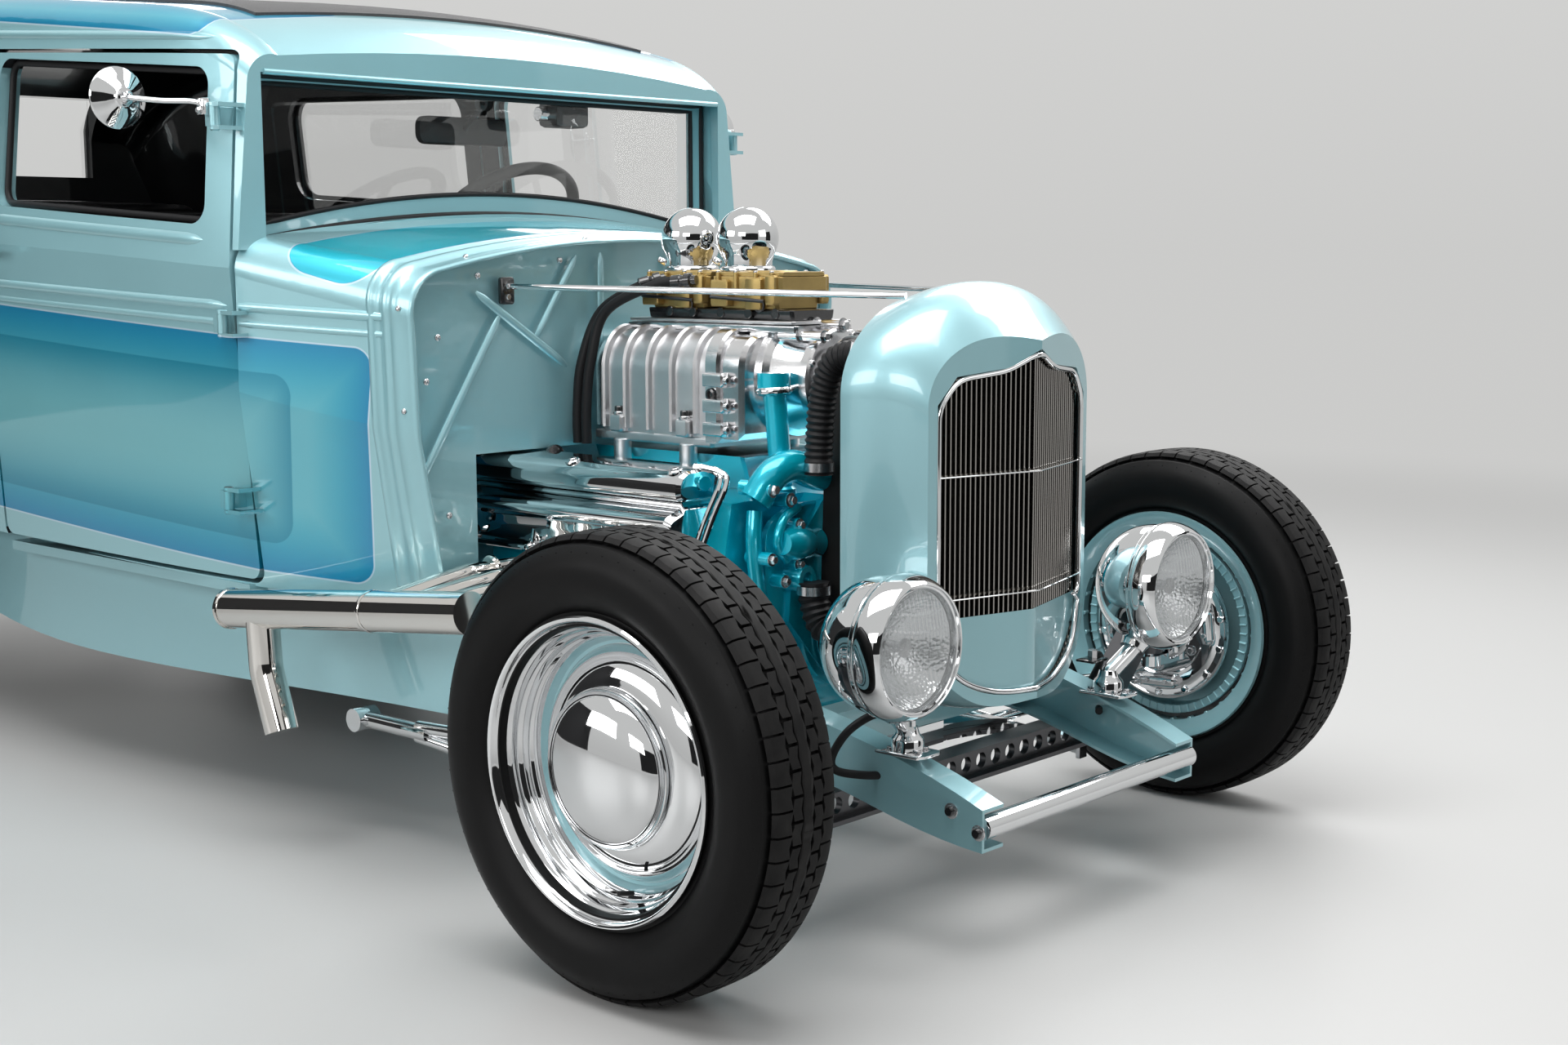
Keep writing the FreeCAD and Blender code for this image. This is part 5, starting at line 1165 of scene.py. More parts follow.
def cowl_outline(station):
    """The cowl's section from its right foot over the top to its left foot, as (y, z)."""
    foot_half, foot, belt_half, belt, top_half, shoulder, crown = station[1:]
    corner_half = top_half - 0.062
    corner_top = crown - (crown - shoulder) * 0.36
    bend = (top_half - 0.012, shoulder + (corner_top - shoulder) * 0.66)
    points = line_through((-foot_half, foot), (-belt_half, belt), 12)
    points += line_through((-belt_half, belt), (-top_half, shoulder), 10)
    points += arc_through((-top_half, shoulder), (-bend[0], bend[1]), (-corner_half, corner_top), 12)
    points += arc_through((-corner_half, corner_top), (0, crown), (corner_half, corner_top), 48)
    points += arc_through((corner_half, corner_top), bend, (top_half, shoulder), 12)
    points += line_through((top_half, shoulder), (belt_half, belt), 10)
    points += line_through((belt_half, belt), (foot_half, foot), 12)
    return points + [(foot_half, foot)]


def cowl_rim():
    """The stepped rolled edge round the cowl's front, with its rivets."""
    piece = Piece("cowl_rim", PAINT, STEEL, BLACK)
    points = [spot(COWL_FRONT[0], y, z) for y, z in cowl_outline(COWL_FRONT)]
    behind = [spot(COWL_NEXT[0], y, z) for y, z in cowl_outline(COWL_NEXT)]
    section = ((0.06, -0.0012), (0.056, 0.003), (0.05, 0.005), (0.044, 0.0034), (0.041, 0.0006),
               (0.03, 0.0004), (0.027, 0.003), (0.021, 0.0058), (0.014, 0.006), (0.008, 0.0036),
               (0.005, 0.0004), (-0.006, 0.0006), (-0.014, 0.001), (-0.022, 0.0022), (-0.028, 0.003),
               (-0.0325, 0.0018), (-0.0342, -0.0012), (-0.033, -0.0044), (-0.028, -0.0062),
               (-0.018, -0.0066), (-0.004, -0.007))
    centre = Vector((points[0].x, 0, 0.66))
    rows = []
    for index, point in enumerate(points):
        along = (points[min(index + 1, len(points) - 1)] - points[max(index - 1, 0)]).normalized()
        flare = (behind[index] - point).normalized()
        out = along.cross(flare).normalized()
        if out.dot(point - centre) < 0:
            out = -out
        rows.append([point + flare * a + out * b for a, b in section])
    piece.grid(rows)
    rivet = ((0, 0.005), (0.0022, 0.0048), (0.0034, 0.0034), (0.0038, 0.0))
    for index in (14, 24, 38, 52, 66, 80, 92, 102):
        at = rows[index][11]
        way = at - Vector((at.x, 0, 0.66))
        piece.lathe(rivet, at - way.normalized() * 0.0006, way, 14, 1)
    piece.build("chassis", slot="body_paint", sharp=50)


def firewall():
    """Pressed ribs, bolts, brackets and grommets on the firewall's face."""
    piece = Piece("firewall_detail", PAINT, STEEL, BLACK, CHROME)
    face = -0.698
    ribs = (((0.31, 0.886), (0.49, 0.612), 0.0075), ((0.362, 0.921), (0.165, 0.792), 0.0075),
            ((0.237, 0.84), (0.141, 0.98), 0.0065), ((0.084, 0.985), (0.087, 0.82), 0.0065))
    arch = [(math.cos(math.pi * turn / 10), math.sin(math.pi * turn / 10)) for turn in range(11)]
    for side in (RIGHT, LEFT):
        for (y0, z0), (y1, z1), half in ribs:
            start = spot(face, side * y0, z0)
            end = spot(face, side * y1, z1)
            way = end - start
            across = Vector((0, -way.z, way.y)).normalized()
            rows = []
            for step in range(17):
                share = step / 16
                swell = max(1 - (2 * share - 1) ** 6, 0.0) ** 0.5
                at = start.lerp(end, share)
                rows.append([at + across * (c * half * (0.35 + 0.65 * swell))
                             + Vector((s * 0.0045 * swell - 0.0004, 0, 0)) for c, s in arch])
            piece.grid(rows)
        for z in (0.93, 0.912):
            piece.bolt(spot(face + 0.004, side * 0.3, z), X_WAY, 0.0055, 0.005, 1)
        box(piece, 0.285, 0.315, 0.9, 0.945, 0.006, face - 0.001, face + 0.006, 2, 0.001, side)
        for y, z in ((0.47, 0.78), (0.445, 0.85), (0.36, 0.948), (0.18, 0.972), (0.43, 0.56)):
            piece.lathe(((0, 0.0055), (0.003, 0.0055), (0.0045, 0.004), (0.005, 0.0)),
                        spot(face, side * y, z), X_WAY, 18, 1)
    for y, z, radius, inner in ((-0.2, 0.64, 0.02, 0.014), (0.24, 0.72, 0.016, 0.011)):
        grommet = ((0, radius), (0.006, radius), (0.01, inner), (0.01, 0.0))
        piece.lathe(grommet, spot(face, y, z), X_WAY, 24, 2)
    piece.build("chassis", slot="body_paint", sharp=40)


# The front


def flutes(across, v, radius):
    """The height of the lens's pattern at a point: fluted above and below, ribbed in the middle."""
    if math.hypot(across, v) / radius >= 0.965:
        return 0.0
    level = v / radius - 0.2 * (across / radius) ** 2
    if level > 0.0:
        relief = 0.001 * abs(math.sin(math.pi * across / 0.0084))
        edges = (0.02, 0.3, 0.58)
    elif level < -0.3:
        relief = 0.001 * abs(math.sin(math.pi * (across + v * 0.55) / 0.0104))
        edges = (-0.3, -0.72)
    else:
        return 0.0009 * abs(math.sin(math.pi * across / 0.0062)) if abs(across) < 0.016 else 0.0
    for edge in edges:
        relief += 0.0014 * max(0.0, 1 - abs(level - edge) / 0.03)
    return relief


def lamps():
    """Headlamps: stepped bezel, bucket, stalk and foot, reflector with bulb shield, fluted lens."""
    body = Piece("headlamp_detail", CHROME, STEEL, BLACK)
    lens = Piece("headlamp_lens_detail", LENS)
    mirror = Piece("headlamp_reflector", MIRROR, STEEL)
    bucket = [(0.0005, 0.0905), (0.0015, 0.0925), (-0.001, 0.095), (-0.007, 0.0985), (-0.014, 0.1015),
              (-0.022, 0.1038), (-0.03, 0.105), (-0.036, 0.1046), (-0.04, 0.103), (-0.042, 0.101),
              (-0.044, 0.1008), (-0.046, 0.1016), (-0.048, 0.1012), (-0.05, 0.099)]
    for share in [step / 14 for step in range(1, 15)]:
        bucket.append((-0.05 - 0.0995 * share, 0.0985 * math.sqrt(max(1 - share ** 2.3, 0.0)) + 0.0005))
    inner = ((0.0005, 0.0905), (-0.003, 0.0893), (-0.004, 0.0872), (-0.003, 0.0858), (-0.006, 0.0848),
             (-0.012, 0.0842))
    rim = 0.0842
    bowl = [(-0.064 + 0.05 * (radius / rim) ** 2, radius)
            for radius in [rim - 0.0782 * step / 16 for step in range(17)]]
    shield = ((-0.058, 0.008), (-0.034, 0.008), (-0.03, 0.0135), (-0.027, 0.0135), (-0.025, 0.0))
    z, front = 0.443, 0.214
    radius, columns, lines = 0.085, 132, 90
    for side in (RIGHT, LEFT):
        y = side * 0.347
        middle = spot(front, y, z)
        body.lathe(bucket, middle, X_WAY, 96, 0, caps=False)
        body.lathe(inner, middle, X_WAY, 96, 0, caps=False)
        mirror.lathe(bowl, middle, X_WAY, 64, 0, caps=False)
        mirror.lathe(shield, middle, X_WAY, 40, 1)
        rows = []
        for line in range(lines + 1):
            v = radius * (2 * line / lines - 1)
            half = math.sqrt(max(radius ** 2 - v ** 2, 0.0))
            row = []
            for column in range(columns + 1):
                across = half * (2 * column / columns - 1)
                dome = 0.014 * (1 - (math.hypot(across, v) / radius) ** 2)
                row.append(spot(front - 0.0065 + dome + flutes(across, v, radius), y + across, z + v))
            rows.append(row)
        lens.grid(rows)
        stalk = ((0.126, 0.262, 0.292), (0.128, 0.27, 0.306), (0.14, 0.306, 0.336), (0.148, 0.33, 0.362))
        body.tube(smooth_path([spot(a, side * b, c) for a, b, c in stalk]), 0.0145, 0, 24)
        foot = ((-0.016, 0.0245), (0.0, 0.0245), (0.004, 0.0225), (0.008, 0.0185), (0.014, 0.0165),
                (0.02, 0.015))
        body.lathe(foot, spot(0.126, side * 0.264, 0.2885), Z_WAY, 40)
        body.lathe(((0.0, 0.02), (0.01, 0.0215), (0.022, 0.026), (0.03, 0.036)),
                   spot(0.14, side * 0.31, 0.338), (0.1, side * 0.62, 0.78), 36)
        for angle in (0.6, 2.2, 3.8, 5.4):
            at = spot(0.126 + 0.034 * math.cos(angle), side * (0.264 + 0.02 * math.sin(angle)), 0.2735)
            body.bolt(at, Z_WAY, 0.0045, 0.004, 1)
        box(body, 0.236, 0.292, 0.268, 0.274, 0.003, 0.082, 0.17, 0, 0.006, side)
        body.rod(spot(front - 0.014, y, z - 0.1), spot(front - 0.014, y, z - 0.109), 0.005, 0, 12)
    lens.build("chassis", "headlamp_lenses", slot="lamp_glass", sharp=60)
    mirror.build("chassis", slot="chrome", sharp=40)
    body.build("chassis", "headlamps", slot="chrome", sharp=40)


def brake_lines():
    """The bent brake hose beside each front wheel, and the screws through the frame horns."""
    piece = Piece("brake_lines", RUBBER, BLACK, STEEL, CHROME)
    rails = surface_of("frame")
    route = ((0.096, 0.262, 0.327), (0.084, 0.3, 0.322), (0.066, 0.33, 0.3), (0.044, 0.336, 0.262),
             (0.048, 0.33, 0.242), (0.08, 0.306, 0.236), (0.104, 0.272, 0.234))
    for side in (RIGHT, LEFT):
        piece.tube(smooth_path([spot(x, side * y, z) for x, y, z in route]), 0.0062, 0, 16)
        y = side * 0.262
        piece.block(spot(0.078, y - 0.022, 0.319), spot(0.112, y + 0.022, 0.323), 1)
        piece.rod(spot(0.096, y, 0.322), spot(0.096, y, 0.338), 0.0085, 2, 6)
        for x, z in ((0.222, 0.205), (0.268, 0.181)):
            at, normal = flank_point(rails, x, z, side)
            piece.lathe(((0, 0.0115), (0.0015, 0.0115), (0.0022, 0.01)), at, (0, side, 0), 28, 2)
            head = ((0.002, 0.0075), (0.007, 0.0075), (0.0085, 0.006), (0.0085, 0.0035))
            piece.lathe(head, at, (0, side, 0), 24, 1)
    piece.build("chassis", slot="black_rubber", sharp=35)


def grille_trim():
    """The polished rim and wires of the grille opening, and the painted panel at the bars' feet."""
    piece = Piece("grille_trim", CHROME, FRAME_PAINT)
    slope = (0.168 - 0.118) / 0.188
    half, top, foot = 0.1835, 0.8375, 0.3265
    side, shoulder, peak = foot + 0.12, (half, top - 0.076), (half - 0.034, top - 0.036)
    outline = [(-half, side), (-shoulder[0], shoulder[1]), (-half + 0.034, peak[1]), (-0.06, top - 0.026),
               (0.0, top), (0.06, top - 0.026), peak, shoulder, (half, side)]
    dip = ((1, 0.12), (0.84, 0.042), (0.45, 0.006), (0, 0), (-0.45, 0.006), (-0.84, 0.042), (-1, 0.12))
    low = smooth_path([(half * share, foot + rise, 0) for share, rise in dip])
    upper = [point for point in rounded(outline, 0.02, 4) if point[1] > foot + 0.115]
    path = [spot(0.1655 - abs(y) * slope, y, z) for y, z in upper + [(p.x, p.y) for p in low[1:-1]]]
    piece.tube(path, 0.0042, 0, 10, closed=True)
    for z in (0.478, 0.66):
        wire = [spot(0.1685 - abs(y) * slope, y, z) for y in (-0.184, -0.1, -0.004, 0.0, 0.004, 0.1, 0.184)]
        piece.tube(wire, 0.0013, 0, 8)
    across = [half * (2 * i / 20 - 1) for i in range(21)]
    rows = []
    for z, lift in ((foot - 0.002, 0.09), (foot + 0.05, 0.09), (0.4, 0.0), (0.442, 0.0), (0.448, 0.0)):
        rows.append([spot(0.157 - abs(y) * slope, y, max(z, foot + lift * (abs(y) / half) ** 3))
                     for y in across])
    piece.grid(rows, 1)
    piece.build("chassis", slot="chrome", sharp=40)


def window_seal(piece, tree, side, corners, corner, middle, grow, sink, radius):
    """A rubber round a side window, set in from the flank that a slightly larger outline meets."""
    path = []
    for x, z in rounded(corners, corner, 8):
        out_x = middle[0] + (x - middle[0]) * grow[0]
        out_z = middle[1] + (z - middle[1]) * grow[1]
        hit = flank_point(tree, out_x, out_z, side)[0]
        if hit is not None:
            path.append(Vector((NOSE + x, hit.y - side * sink, z)))
    piece.tube(path, radius, 0, 10, closed=True)


def screen_seals():
    """Black rubber round the windscreen and the side windows."""
    fixed = Piece("window_seals", RUBBER, BLACK)
    plane = -1.0655
    for half, low, crown, high, radius in ((0.545, 1.003, 1.055, 1.281, 0.0062),
                                           (0.516, 1.034, 1.092, 1.268, 0.0045)):
        line = arc_through((-half, low), (0, crown), (half, low), 40)
        line += [(half, low), (half, high), (-half, high)]
        fixed.tube(closed_path([spot(plane, y, z) for y, z in line], 0.03), radius, 0, 12, closed=True)
    shell = surface_of("body_shell", "cowl")
    quarter = ((-1.878, 1.088), (-1.878, 1.346), (-2.544, 1.366), (-2.544, 1.126))
    for side in (RIGHT, LEFT):
        window_seal(fixed, shell, side, quarter, 0.055, (-2.211, 1.232), (1.045, 1.07), 0.016, 0.006)
    fixed.build("chassis", slot="black_rubber", sharp=50)
    window = ((-1.112, 1.039), (-1.112, 1.286), (-1.744, 1.337), (-1.744, 1.079))
    for name, side in SIDES:
        piece = Piece("door_seal_" + name, RUBBER)
        tree = surface_of("door_" + name)
        window_seal(piece, tree, side, window, 0.03, (-1.428, 1.185), (1.055, 1.1), 0.022, 0.0062)
        piece.build("door_" + name, slot="black_rubber", sharp=50)


def signed(value, power):
    """A power that keeps the sign."""
    return math.copysign(abs(value) ** power, value)


def pad(name, centre, tilt, half, channels, crown=0.012):
    """A stuffed seat pad: pleats along it, rounded ends, and piping round its upper edge."""
    piece = Piece(name, LEATHER, SEAM)
    half_long, half_thick, half_wide = half
    turn = Matrix.Translation(centre) @ Matrix.Rotation(tilt, 4, "Y")
    groove = 0.011
    per_channel = 8
    count = channels * per_channel
    rows = []
    for row in range(count + 1):
        v = 2 * row / count - 1
        end = (1 - min(abs(v), 0.9999) ** 14) ** (1 / 5)
        pleat = abs(math.sin(math.pi * (row / per_channel)))
        points = []
        for across, rise in turns(64):
            x = signed(across, 0.34)
            z = signed(rise, 0.5)
            puff = (crown * (1 - x * x) * (1 - v * v)
                    - groove * (1 - pleat ** 0.55) * (0.25 + 0.75 * (abs(rise) ** 0.5)))
            lift = puff if rise > 0 else 0.0
            pull = 0.01 * (1 - abs(z)) * (1 - abs(v) ** 4)
            points.append(turn @ Vector((
                x * (half_long - pull) * (0.93 + 0.07 * end), v * half_wide,
                z * half_thick * (0.42 + 0.58 * end) + lift * end - crown * 0.6)))
        rows.append(points)
    piece.skin(rows)
    edge = [turn @ Vector((signed(c, 0.16) * (half_long - 0.006), signed(s, 0.16) * (half_wide - 0.01),
                           half_thick * 0.52)) for c, s in turns(96)]
    piece.tube(edge, 0.0042, 1, 8, closed=True)
    made = piece.build("chassis", "seats", slot="seat_leather", sharp=70)
    return made


def seats():
    """Pleated bench seats front and rear, and the boarded base under the front one."""
    pad("front_seat_cushion", spot(-1.805, 0, 0.628), 0.0, (0.24, 0.066, 0.5), 16)
    lean = math.atan2(0.125, 0.39) - math.pi / 2
    pad("front_seat_squab", spot(-2.1175, 0, 0.88), lean, (0.196, 0.052, 0.5), 16, 0.008)
    pad("rear_seat_cushion", spot(-2.64, 0, 0.718), 0.0, (0.214, 0.072, 0.474), 15)
    lean = math.atan2(0.105, 0.325) - math.pi / 2
    pad("rear_seat_squab", spot(-2.9125, 0, 0.955), lean, (0.16, 0.044, 0.474), 15, 0.008)
    base = Piece("seat_base", LEATHER, STEEL)
    base.block(spot(-2.038, -0.493, 0.4335), spot(-1.582, 0.493, 0.566), 0, 0.008)
    for y in (RIGHT * 0.4, LEFT * 0.4):
        base.block(spot(-2.03, y - 0.018, 0.4328), spot(-1.59, y + 0.018, 0.446), 1, 0.002)
    base.build("chassis", "seats", slot="seat_leather", sharp=40)


def dials():
    """Three round instruments with pale faces, ticks and needles."""
    piece = Piece("dials", CHROME, DIAL, BLACK, RED)
    bezel = ((0, 0.0435), (0.004, 0.044), (0.0065, 0.0415), (0.0045, 0.0385), (0.0015, 0.038))
    for y in (0.19, 0.31, 0.43):
        at = spot(-1.1605, y, 0.95)
        piece.lathe(bezel, at, BACK_WAY, 56)
        piece.lathe(((0.001, 0.0382), (0.0012, 0.0)), at, BACK_WAY, 48, 1)
        for index in range(25):
            angle = math.radians(-45 + 270 * index / 24)
            near = 0.031 if index % 4 == 0 else 0.0335
            start, end = [at + Vector((-0.0016, math.cos(angle) * far, math.sin(angle) * far))
                          for far in (near, 0.0365)]
            piece.rod(start, end, 0.0005, 2, 6)
        piece.rod(at + Vector((-0.0026, 0.006, -0.004)), at + Vector((-0.0026, -0.024, 0.018)), 0.0007, 3, 6)
        piece.lathe(((0.001, 0.004), (0.004, 0.004), (0.0045, 0.0)), at, BACK_WAY, 20, 2)
    piece.build("chassis", slot="chrome", sharp=40)


def rear_trim():
    """Ribbed tail-lamp lenses with bright rims, and the tank's straps."""
    piece = Piece("tail_trim", CHROME, RED, STEEL, BLACK)
    low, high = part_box("tail_lamps")
    lens = 0.0372
    rings = [(0.0125, lens)]
    for radius in [lens * (1 - step / 24) for step in range(1, 25)]:
        rings.append((0.0135 + 0.031 * (1 - (radius / lens) ** 2), radius + 1e-5))
    for side in (RIGHT, LEFT):
        at = Vector((low[0] + 0.044, side * 0.47, 0.69))
        piece.lathe(((0.0, 0.04), (0.006, 0.0415), (0.012, 0.04), (0.014, 0.0375)), at, BACK_WAY, 48)
        piece.lathe(rings, at, BACK_WAY, 56, 1)
    low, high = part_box("fuel_tank")
    x0, x1 = low[0] + 0.004, high[0] + 0.0015
    z0, z1 = low[2] - 0.0015, high[2] + 0.0015
    loop = [(x0, z0), (x1, z0), (x1, z1), (x0, z1)]
    for y in (-0.24, 0.24):
        for (a, b), (c, d) in zip(loop, loop[1:] + loop[:1]):
            piece.block((min(a, c) - 0.001, y - 0.016, min(b, d) - 0.001),
                        (max(a, c) + 0.001, y + 0.016, max(b, d) + 0.001), 3, 0.0004)
        piece.bolt((x1 + 0.001, y, (z0 + z1) / 2), X_WAY, 0.006, 0.005, 2)
    piece.build("chassis", slot="chrome", sharp=35)


def exhaust_trim():
    """Flange rings, clamps and bolts along the side pipes."""
    piece = Piece("exhaust_trim", HEATED, STEEL)
    across = Vector((0, 1, 0))
    for side in (RIGHT, LEFT):
        start = spot(-1.046, side * 0.62, 0.391)
        end = spot(-0.415, side * 0.62, 0.457)
        way = (end - start).normalized()
        ring = ((0.0, 0.0335), (0.0, 0.0352), (0.006, 0.0352), (0.007, 0.0335))
        piece.lathe(ring, start - way * 0.001, way, 48)
        piece.lathe(((0.0, 0.0335), (0.004, 0.0345), (0.008, 0.0335)), start.lerp(end, 0.62), way, 48)
        face = start - way * 0.0055
        piece.lathe(((0.0, 0.0), (0.0, 0.024), (0.002, 0.03), (0.006, 0.0325)), face, way, 48)
        up = across.cross(way).normalized()
        for c, s in turns(3, 0.5):
            piece.bolt(face + (across * c + up * s) * 0.018, -way, 0.0042, 0.004, 1)
        for x in (-0.44, -0.512, -0.584, -0.656):
            piece.lathe(((0.0, 0.0195), (0.003, 0.0225), (0.008, 0.0225), (0.011, 0.0195)),
                        spot(x, side * 0.372, 0.47), (0, side, 0), 32)
    piece.build("chassis", slot="chrome", sharp=35)


def brakes():
    """Plated backing plates with their cylinders, adjusters, hose unions and spindle nuts."""
    plate = ((-0.0045, 0.1345), (0.0, 0.135), (0.003, 0.1335), (0.0036, 0.13), (0.0012, 0.127),
             (0.001, 0.118), (0.005, 0.114), (0.0064, 0.108), (0.0062, 0.09), (0.003, 0.086),
             (0.003, 0.064), (0.008, 0.06), (0.01, 0.054), (0.01, 0.03))
    lines = (((0.03, 0.024, 0.094), (0.052, 0.03, 0.074), (0.074, 0.028, 0.04), (0.09, 0.022, 0.004),
              (0.098, 0.018, -0.02)),
             ((-0.03, 0.024, 0.094), (-0.06, 0.028, 0.07), (-0.084, 0.026, 0.024), (-0.094, 0.022, -0.024)))
    for name, side in SIDES:
        piece = Piece("brake_" + name, CHROME, STEEL, BLACK)
        face = spot(0, side * 0.6355, FRONT_RADIUS)
        inward = Vector((0, -side, 0))
        piece.lathe(plate, face, inward, 96)
        for c, s in turns(14, 0.2):
            piece.lathe(((0.0, 0.0062), (0.003, 0.0062), (0.0042, 0.0048), (0.0042, 0.0)),
                        face + Vector((c * 0.1225, -side * 0.0012, s * 0.1225)), inward, 16)
        for c, s in turns(6, 0.5):
            piece.bolt(face + Vector((c * 0.074, -side * 0.003, s * 0.074)), inward, 0.0065, 0.0055, 1)
        for angle, width in ((1.57, 0.04), (0.1, 0.026), (3.35, 0.026), (4.75, 0.034)):
            away = Vector((math.cos(angle), 0, math.sin(angle)))
            along = Vector((-math.sin(angle), 0, math.cos(angle)))
            middle = face + away * 0.099 + inward * 0.01
            for half, radius, finish, steps, ease in ((width, 0.0125, 0, 28, 0.003),
                                                      (width + 0.006, 0.008, 1, 20, 0.002)):
                piece.rod(middle - along * half, middle + along * half, radius, finish, steps, ease)
            for sign in (-1, 1):
                foot = middle + along * (sign * width * 0.55)
                piece.rod(foot, foot + inward * 0.017, 0.0042, 1, 6)
        for line in lines:
            path = smooth_path([face + Vector((x, -side * y, z)) for x, y, z in line])
            piece.tube(path, 0.003, 1, 12)
        piece.build("knuckle_" + name, slot="chrome", sharp=35)


def rear_view():
    """The small mirror that hangs behind the windscreen, and the wiper motor beside it."""
    piece = Piece("rear_view_mirror", SATIN_BLACK, CHROME)
    outline = rounded(((-0.105, 1.186), (0.105, 1.186), (0.105, 1.238), (-0.105, 1.238)), 0.022, 6)
    rows = []
    for along, grow in ((-1.156, 0.9), (-1.16, 1.0), (-1.174, 1.0), (-1.18, 0.88)):
        rows.append([spot(along, y * grow, 1.212 + (z - 1.212) * grow) for y, z in outline])
    piece.skin(rows, 0, 1)
    piece.tube([spot(-1.157, 0, 1.216), spot(-1.128, 0, 1.24), spot(-1.104, 0, 1.262)], 0.0055, 0, 12)
    piece.lathe(((0.0, 0.016), (0.004, 0.016), (0.006, 0.01)), spot(-1.108, 0, 1.262), (-1, 0, 0.2), 24)
    piece.block(spot(-1.15, 0.175, 1.226), spot(-1.092, 0.262, 1.276), 0, 0.01)
    piece.rod(spot(-1.12, 0.175, 1.25), spot(-1.12, 0.15, 1.25), 0.014, 1, 24)
    piece.build("chassis", slot="black_rubber", sharp=40)


def mirrors():
    """Round dished door mirrors on a rod, and the barrels of the door hinges."""
    shell = ((0.0, 0.0), (0.0, 0.007), (0.001, 0.01), (0.002, 0.012), (0.0025, 0.016),
             (0.004, 0.0172), (0.0052, 0.019), (0.0112, 0.031), (0.0172, 0.042), (0.0215, 0.0485),
             (0.0228, 0.0505), (0.0243, 0.051), (0.0256, 0.0505), (0.026, 0.049), (0.0258, 0.0475))
    barrel = ((0.0, 0.0), (0.0, 0.0062), (0.0018, 0.0086), (0.007, 0.0088), (0.0074, 0.008),
              (0.008, 0.0088), (0.039, 0.0088), (0.0396, 0.008), (0.0402, 0.0088), (0.0452, 0.0086),
              (0.047, 0.0062), (0.047, 0.0))
    for name, side in SIDES:
        piece = Piece("mirror_" + name + "_detail", CHROME, STEEL, MIRROR)
        middle = spot(-1.167, side * 0.713, 1.238)
        nose = middle + Vector((0.016, 0, 0))
        piece.lathe(shell, nose, BACK_WAY, 72, 0, caps=False)
        piece.lathe(((0.0258, 0.0476), (0.0252, 0.03), (0.025, 0.0)), nose, BACK_WAY, 72, 2, caps=False)
        for c, s in turns(3, 0.4):
            piece.bolt(nose + Vector((-0.001, c * 0.0085, s * 0.0085)), X_WAY, 0.0028, 0.003, 1)
        start = spot(-1.058, side * 0.627, 1.226)
        end = middle + Vector((0.013, -side * 0.004, 0))
        piece.tube(smooth_path([start, start.lerp(end, 0.1) + Vector((-0.004, side * 0.006, 0.004)),
                                start.lerp(end, 0.55), end]), 0.0046, 0, 20)
        socket = ((0.0, 0.0), (0.0, 0.006), (0.004, 0.0085), (0.01, 0.0085), (0.014, 0.006))
        piece.lathe(socket, end + Vector((0.006, 0, 0)), (-0.9, side * 0.4, 0), 24)
        low, high = sorted((side * 0.619, side * 0.634))
        piece.block(spot(-1.0715, low, 1.2085), spot(-1.0485, high, 1.2375), 0, 0.004)
        piece.bolt(spot(-1.06, side * 0.634, 1.2165), (0, side, 0), 0.005, 0.0045, 1)
        piece.build("door_" + name, "mirror_" + name, slot="chrome", sharp=40)
        barrels = Piece("hinges_" + name, PAINT)
        for z in (0.575, 0.869, 1.207):
            barrels.lathe(barrel, spot(-1.041, side * 0.618, z - 0.0235), Z_WAY, 32, 0, caps=False)
        barrels.build("chassis", slot="body_paint", sharp=40)


def body_mouldings():
    """The drip moulding over the doors and the rolled edge under each door window."""
    shell = surface_of("body_shell", "cowl")
    fixed = Piece("drip_moulding", PAINT)
    for side in (RIGHT, LEFT):
        bead(fixed, shell, spread(-1.095, -2.62), lambda x: 1.342 - (x + 1.1) * 0.0704, side,
             0.0075, 0.005)
    fixed.build("chassis", slot="body_paint", sharp=50)
    for name, side in SIDES:
        piece = Piece("window_roll_" + name, PAINT)
        panel = surface_of("door_" + name)
        bead(piece, panel, spread(-1.105, -1.762), lambda x: 1.007 - (x + 1.105) * 0.065, side,
             0.0105, 0.0036)
        piece.build("door_" + name, slot="body_paint", sharp=50)


def visor_lip():
    """The rolled lower edge of the visor over the windscreen."""
    shell = surface_of("body_shell", "cowl")
    piece = Piece("visor_lip", PAINT)
    path = []
    for index in range(53):
        y = -0.585 + 1.17 * index / 52
        found = None
        for step in range(36):
            z = 1.345 - 0.002 * step
            hit = shell.ray_cast(spot(0.0, y, z), Vector(BACK_WAY), 1.2)[0]
            if hit is None or hit.x < NOSE - 1.075:
                break
            found = hit
        if found is not None:
            path.append(found + Vector((0.0005, 0, 0.001)))
    inner = [(a + b * 2 + c) / 4 for a, b, c in zip(path, path[1:], path[2:])]
    piece.tube([path[0], *inner, path[-1]], 0.005, 0, 16)
    piece.build("chassis", slot="body_paint", sharp=60)


# Camera, lights and floor


def camera():
    """The photograph's view."""
    data = bpy.data.cameras.new("camera")
    data.lens = 46.67
    data.sensor_width = 36
    made = bpy.data.objects.new("camera", data)
    scene.collection.objects.link(made)
    azimuth = math.radians(41.81)
    elevation = math.radians(7.68)
    back = Vector((math.sin(azimuth) * math.cos(elevation), -math.cos(azimuth) * math.cos(elevation),
                   math.sin(elevation)))
    turn = (-back).to_track_quat("-Z", "Y").to_matrix().to_4x4()
    made.matrix_world = (Matrix.Translation((1.903 + NOSE, -2.517, 0.991)) @ turn
                         @ Matrix.Rotation(math.radians(-0.11), 4, "Z"))
    scene.camera = made


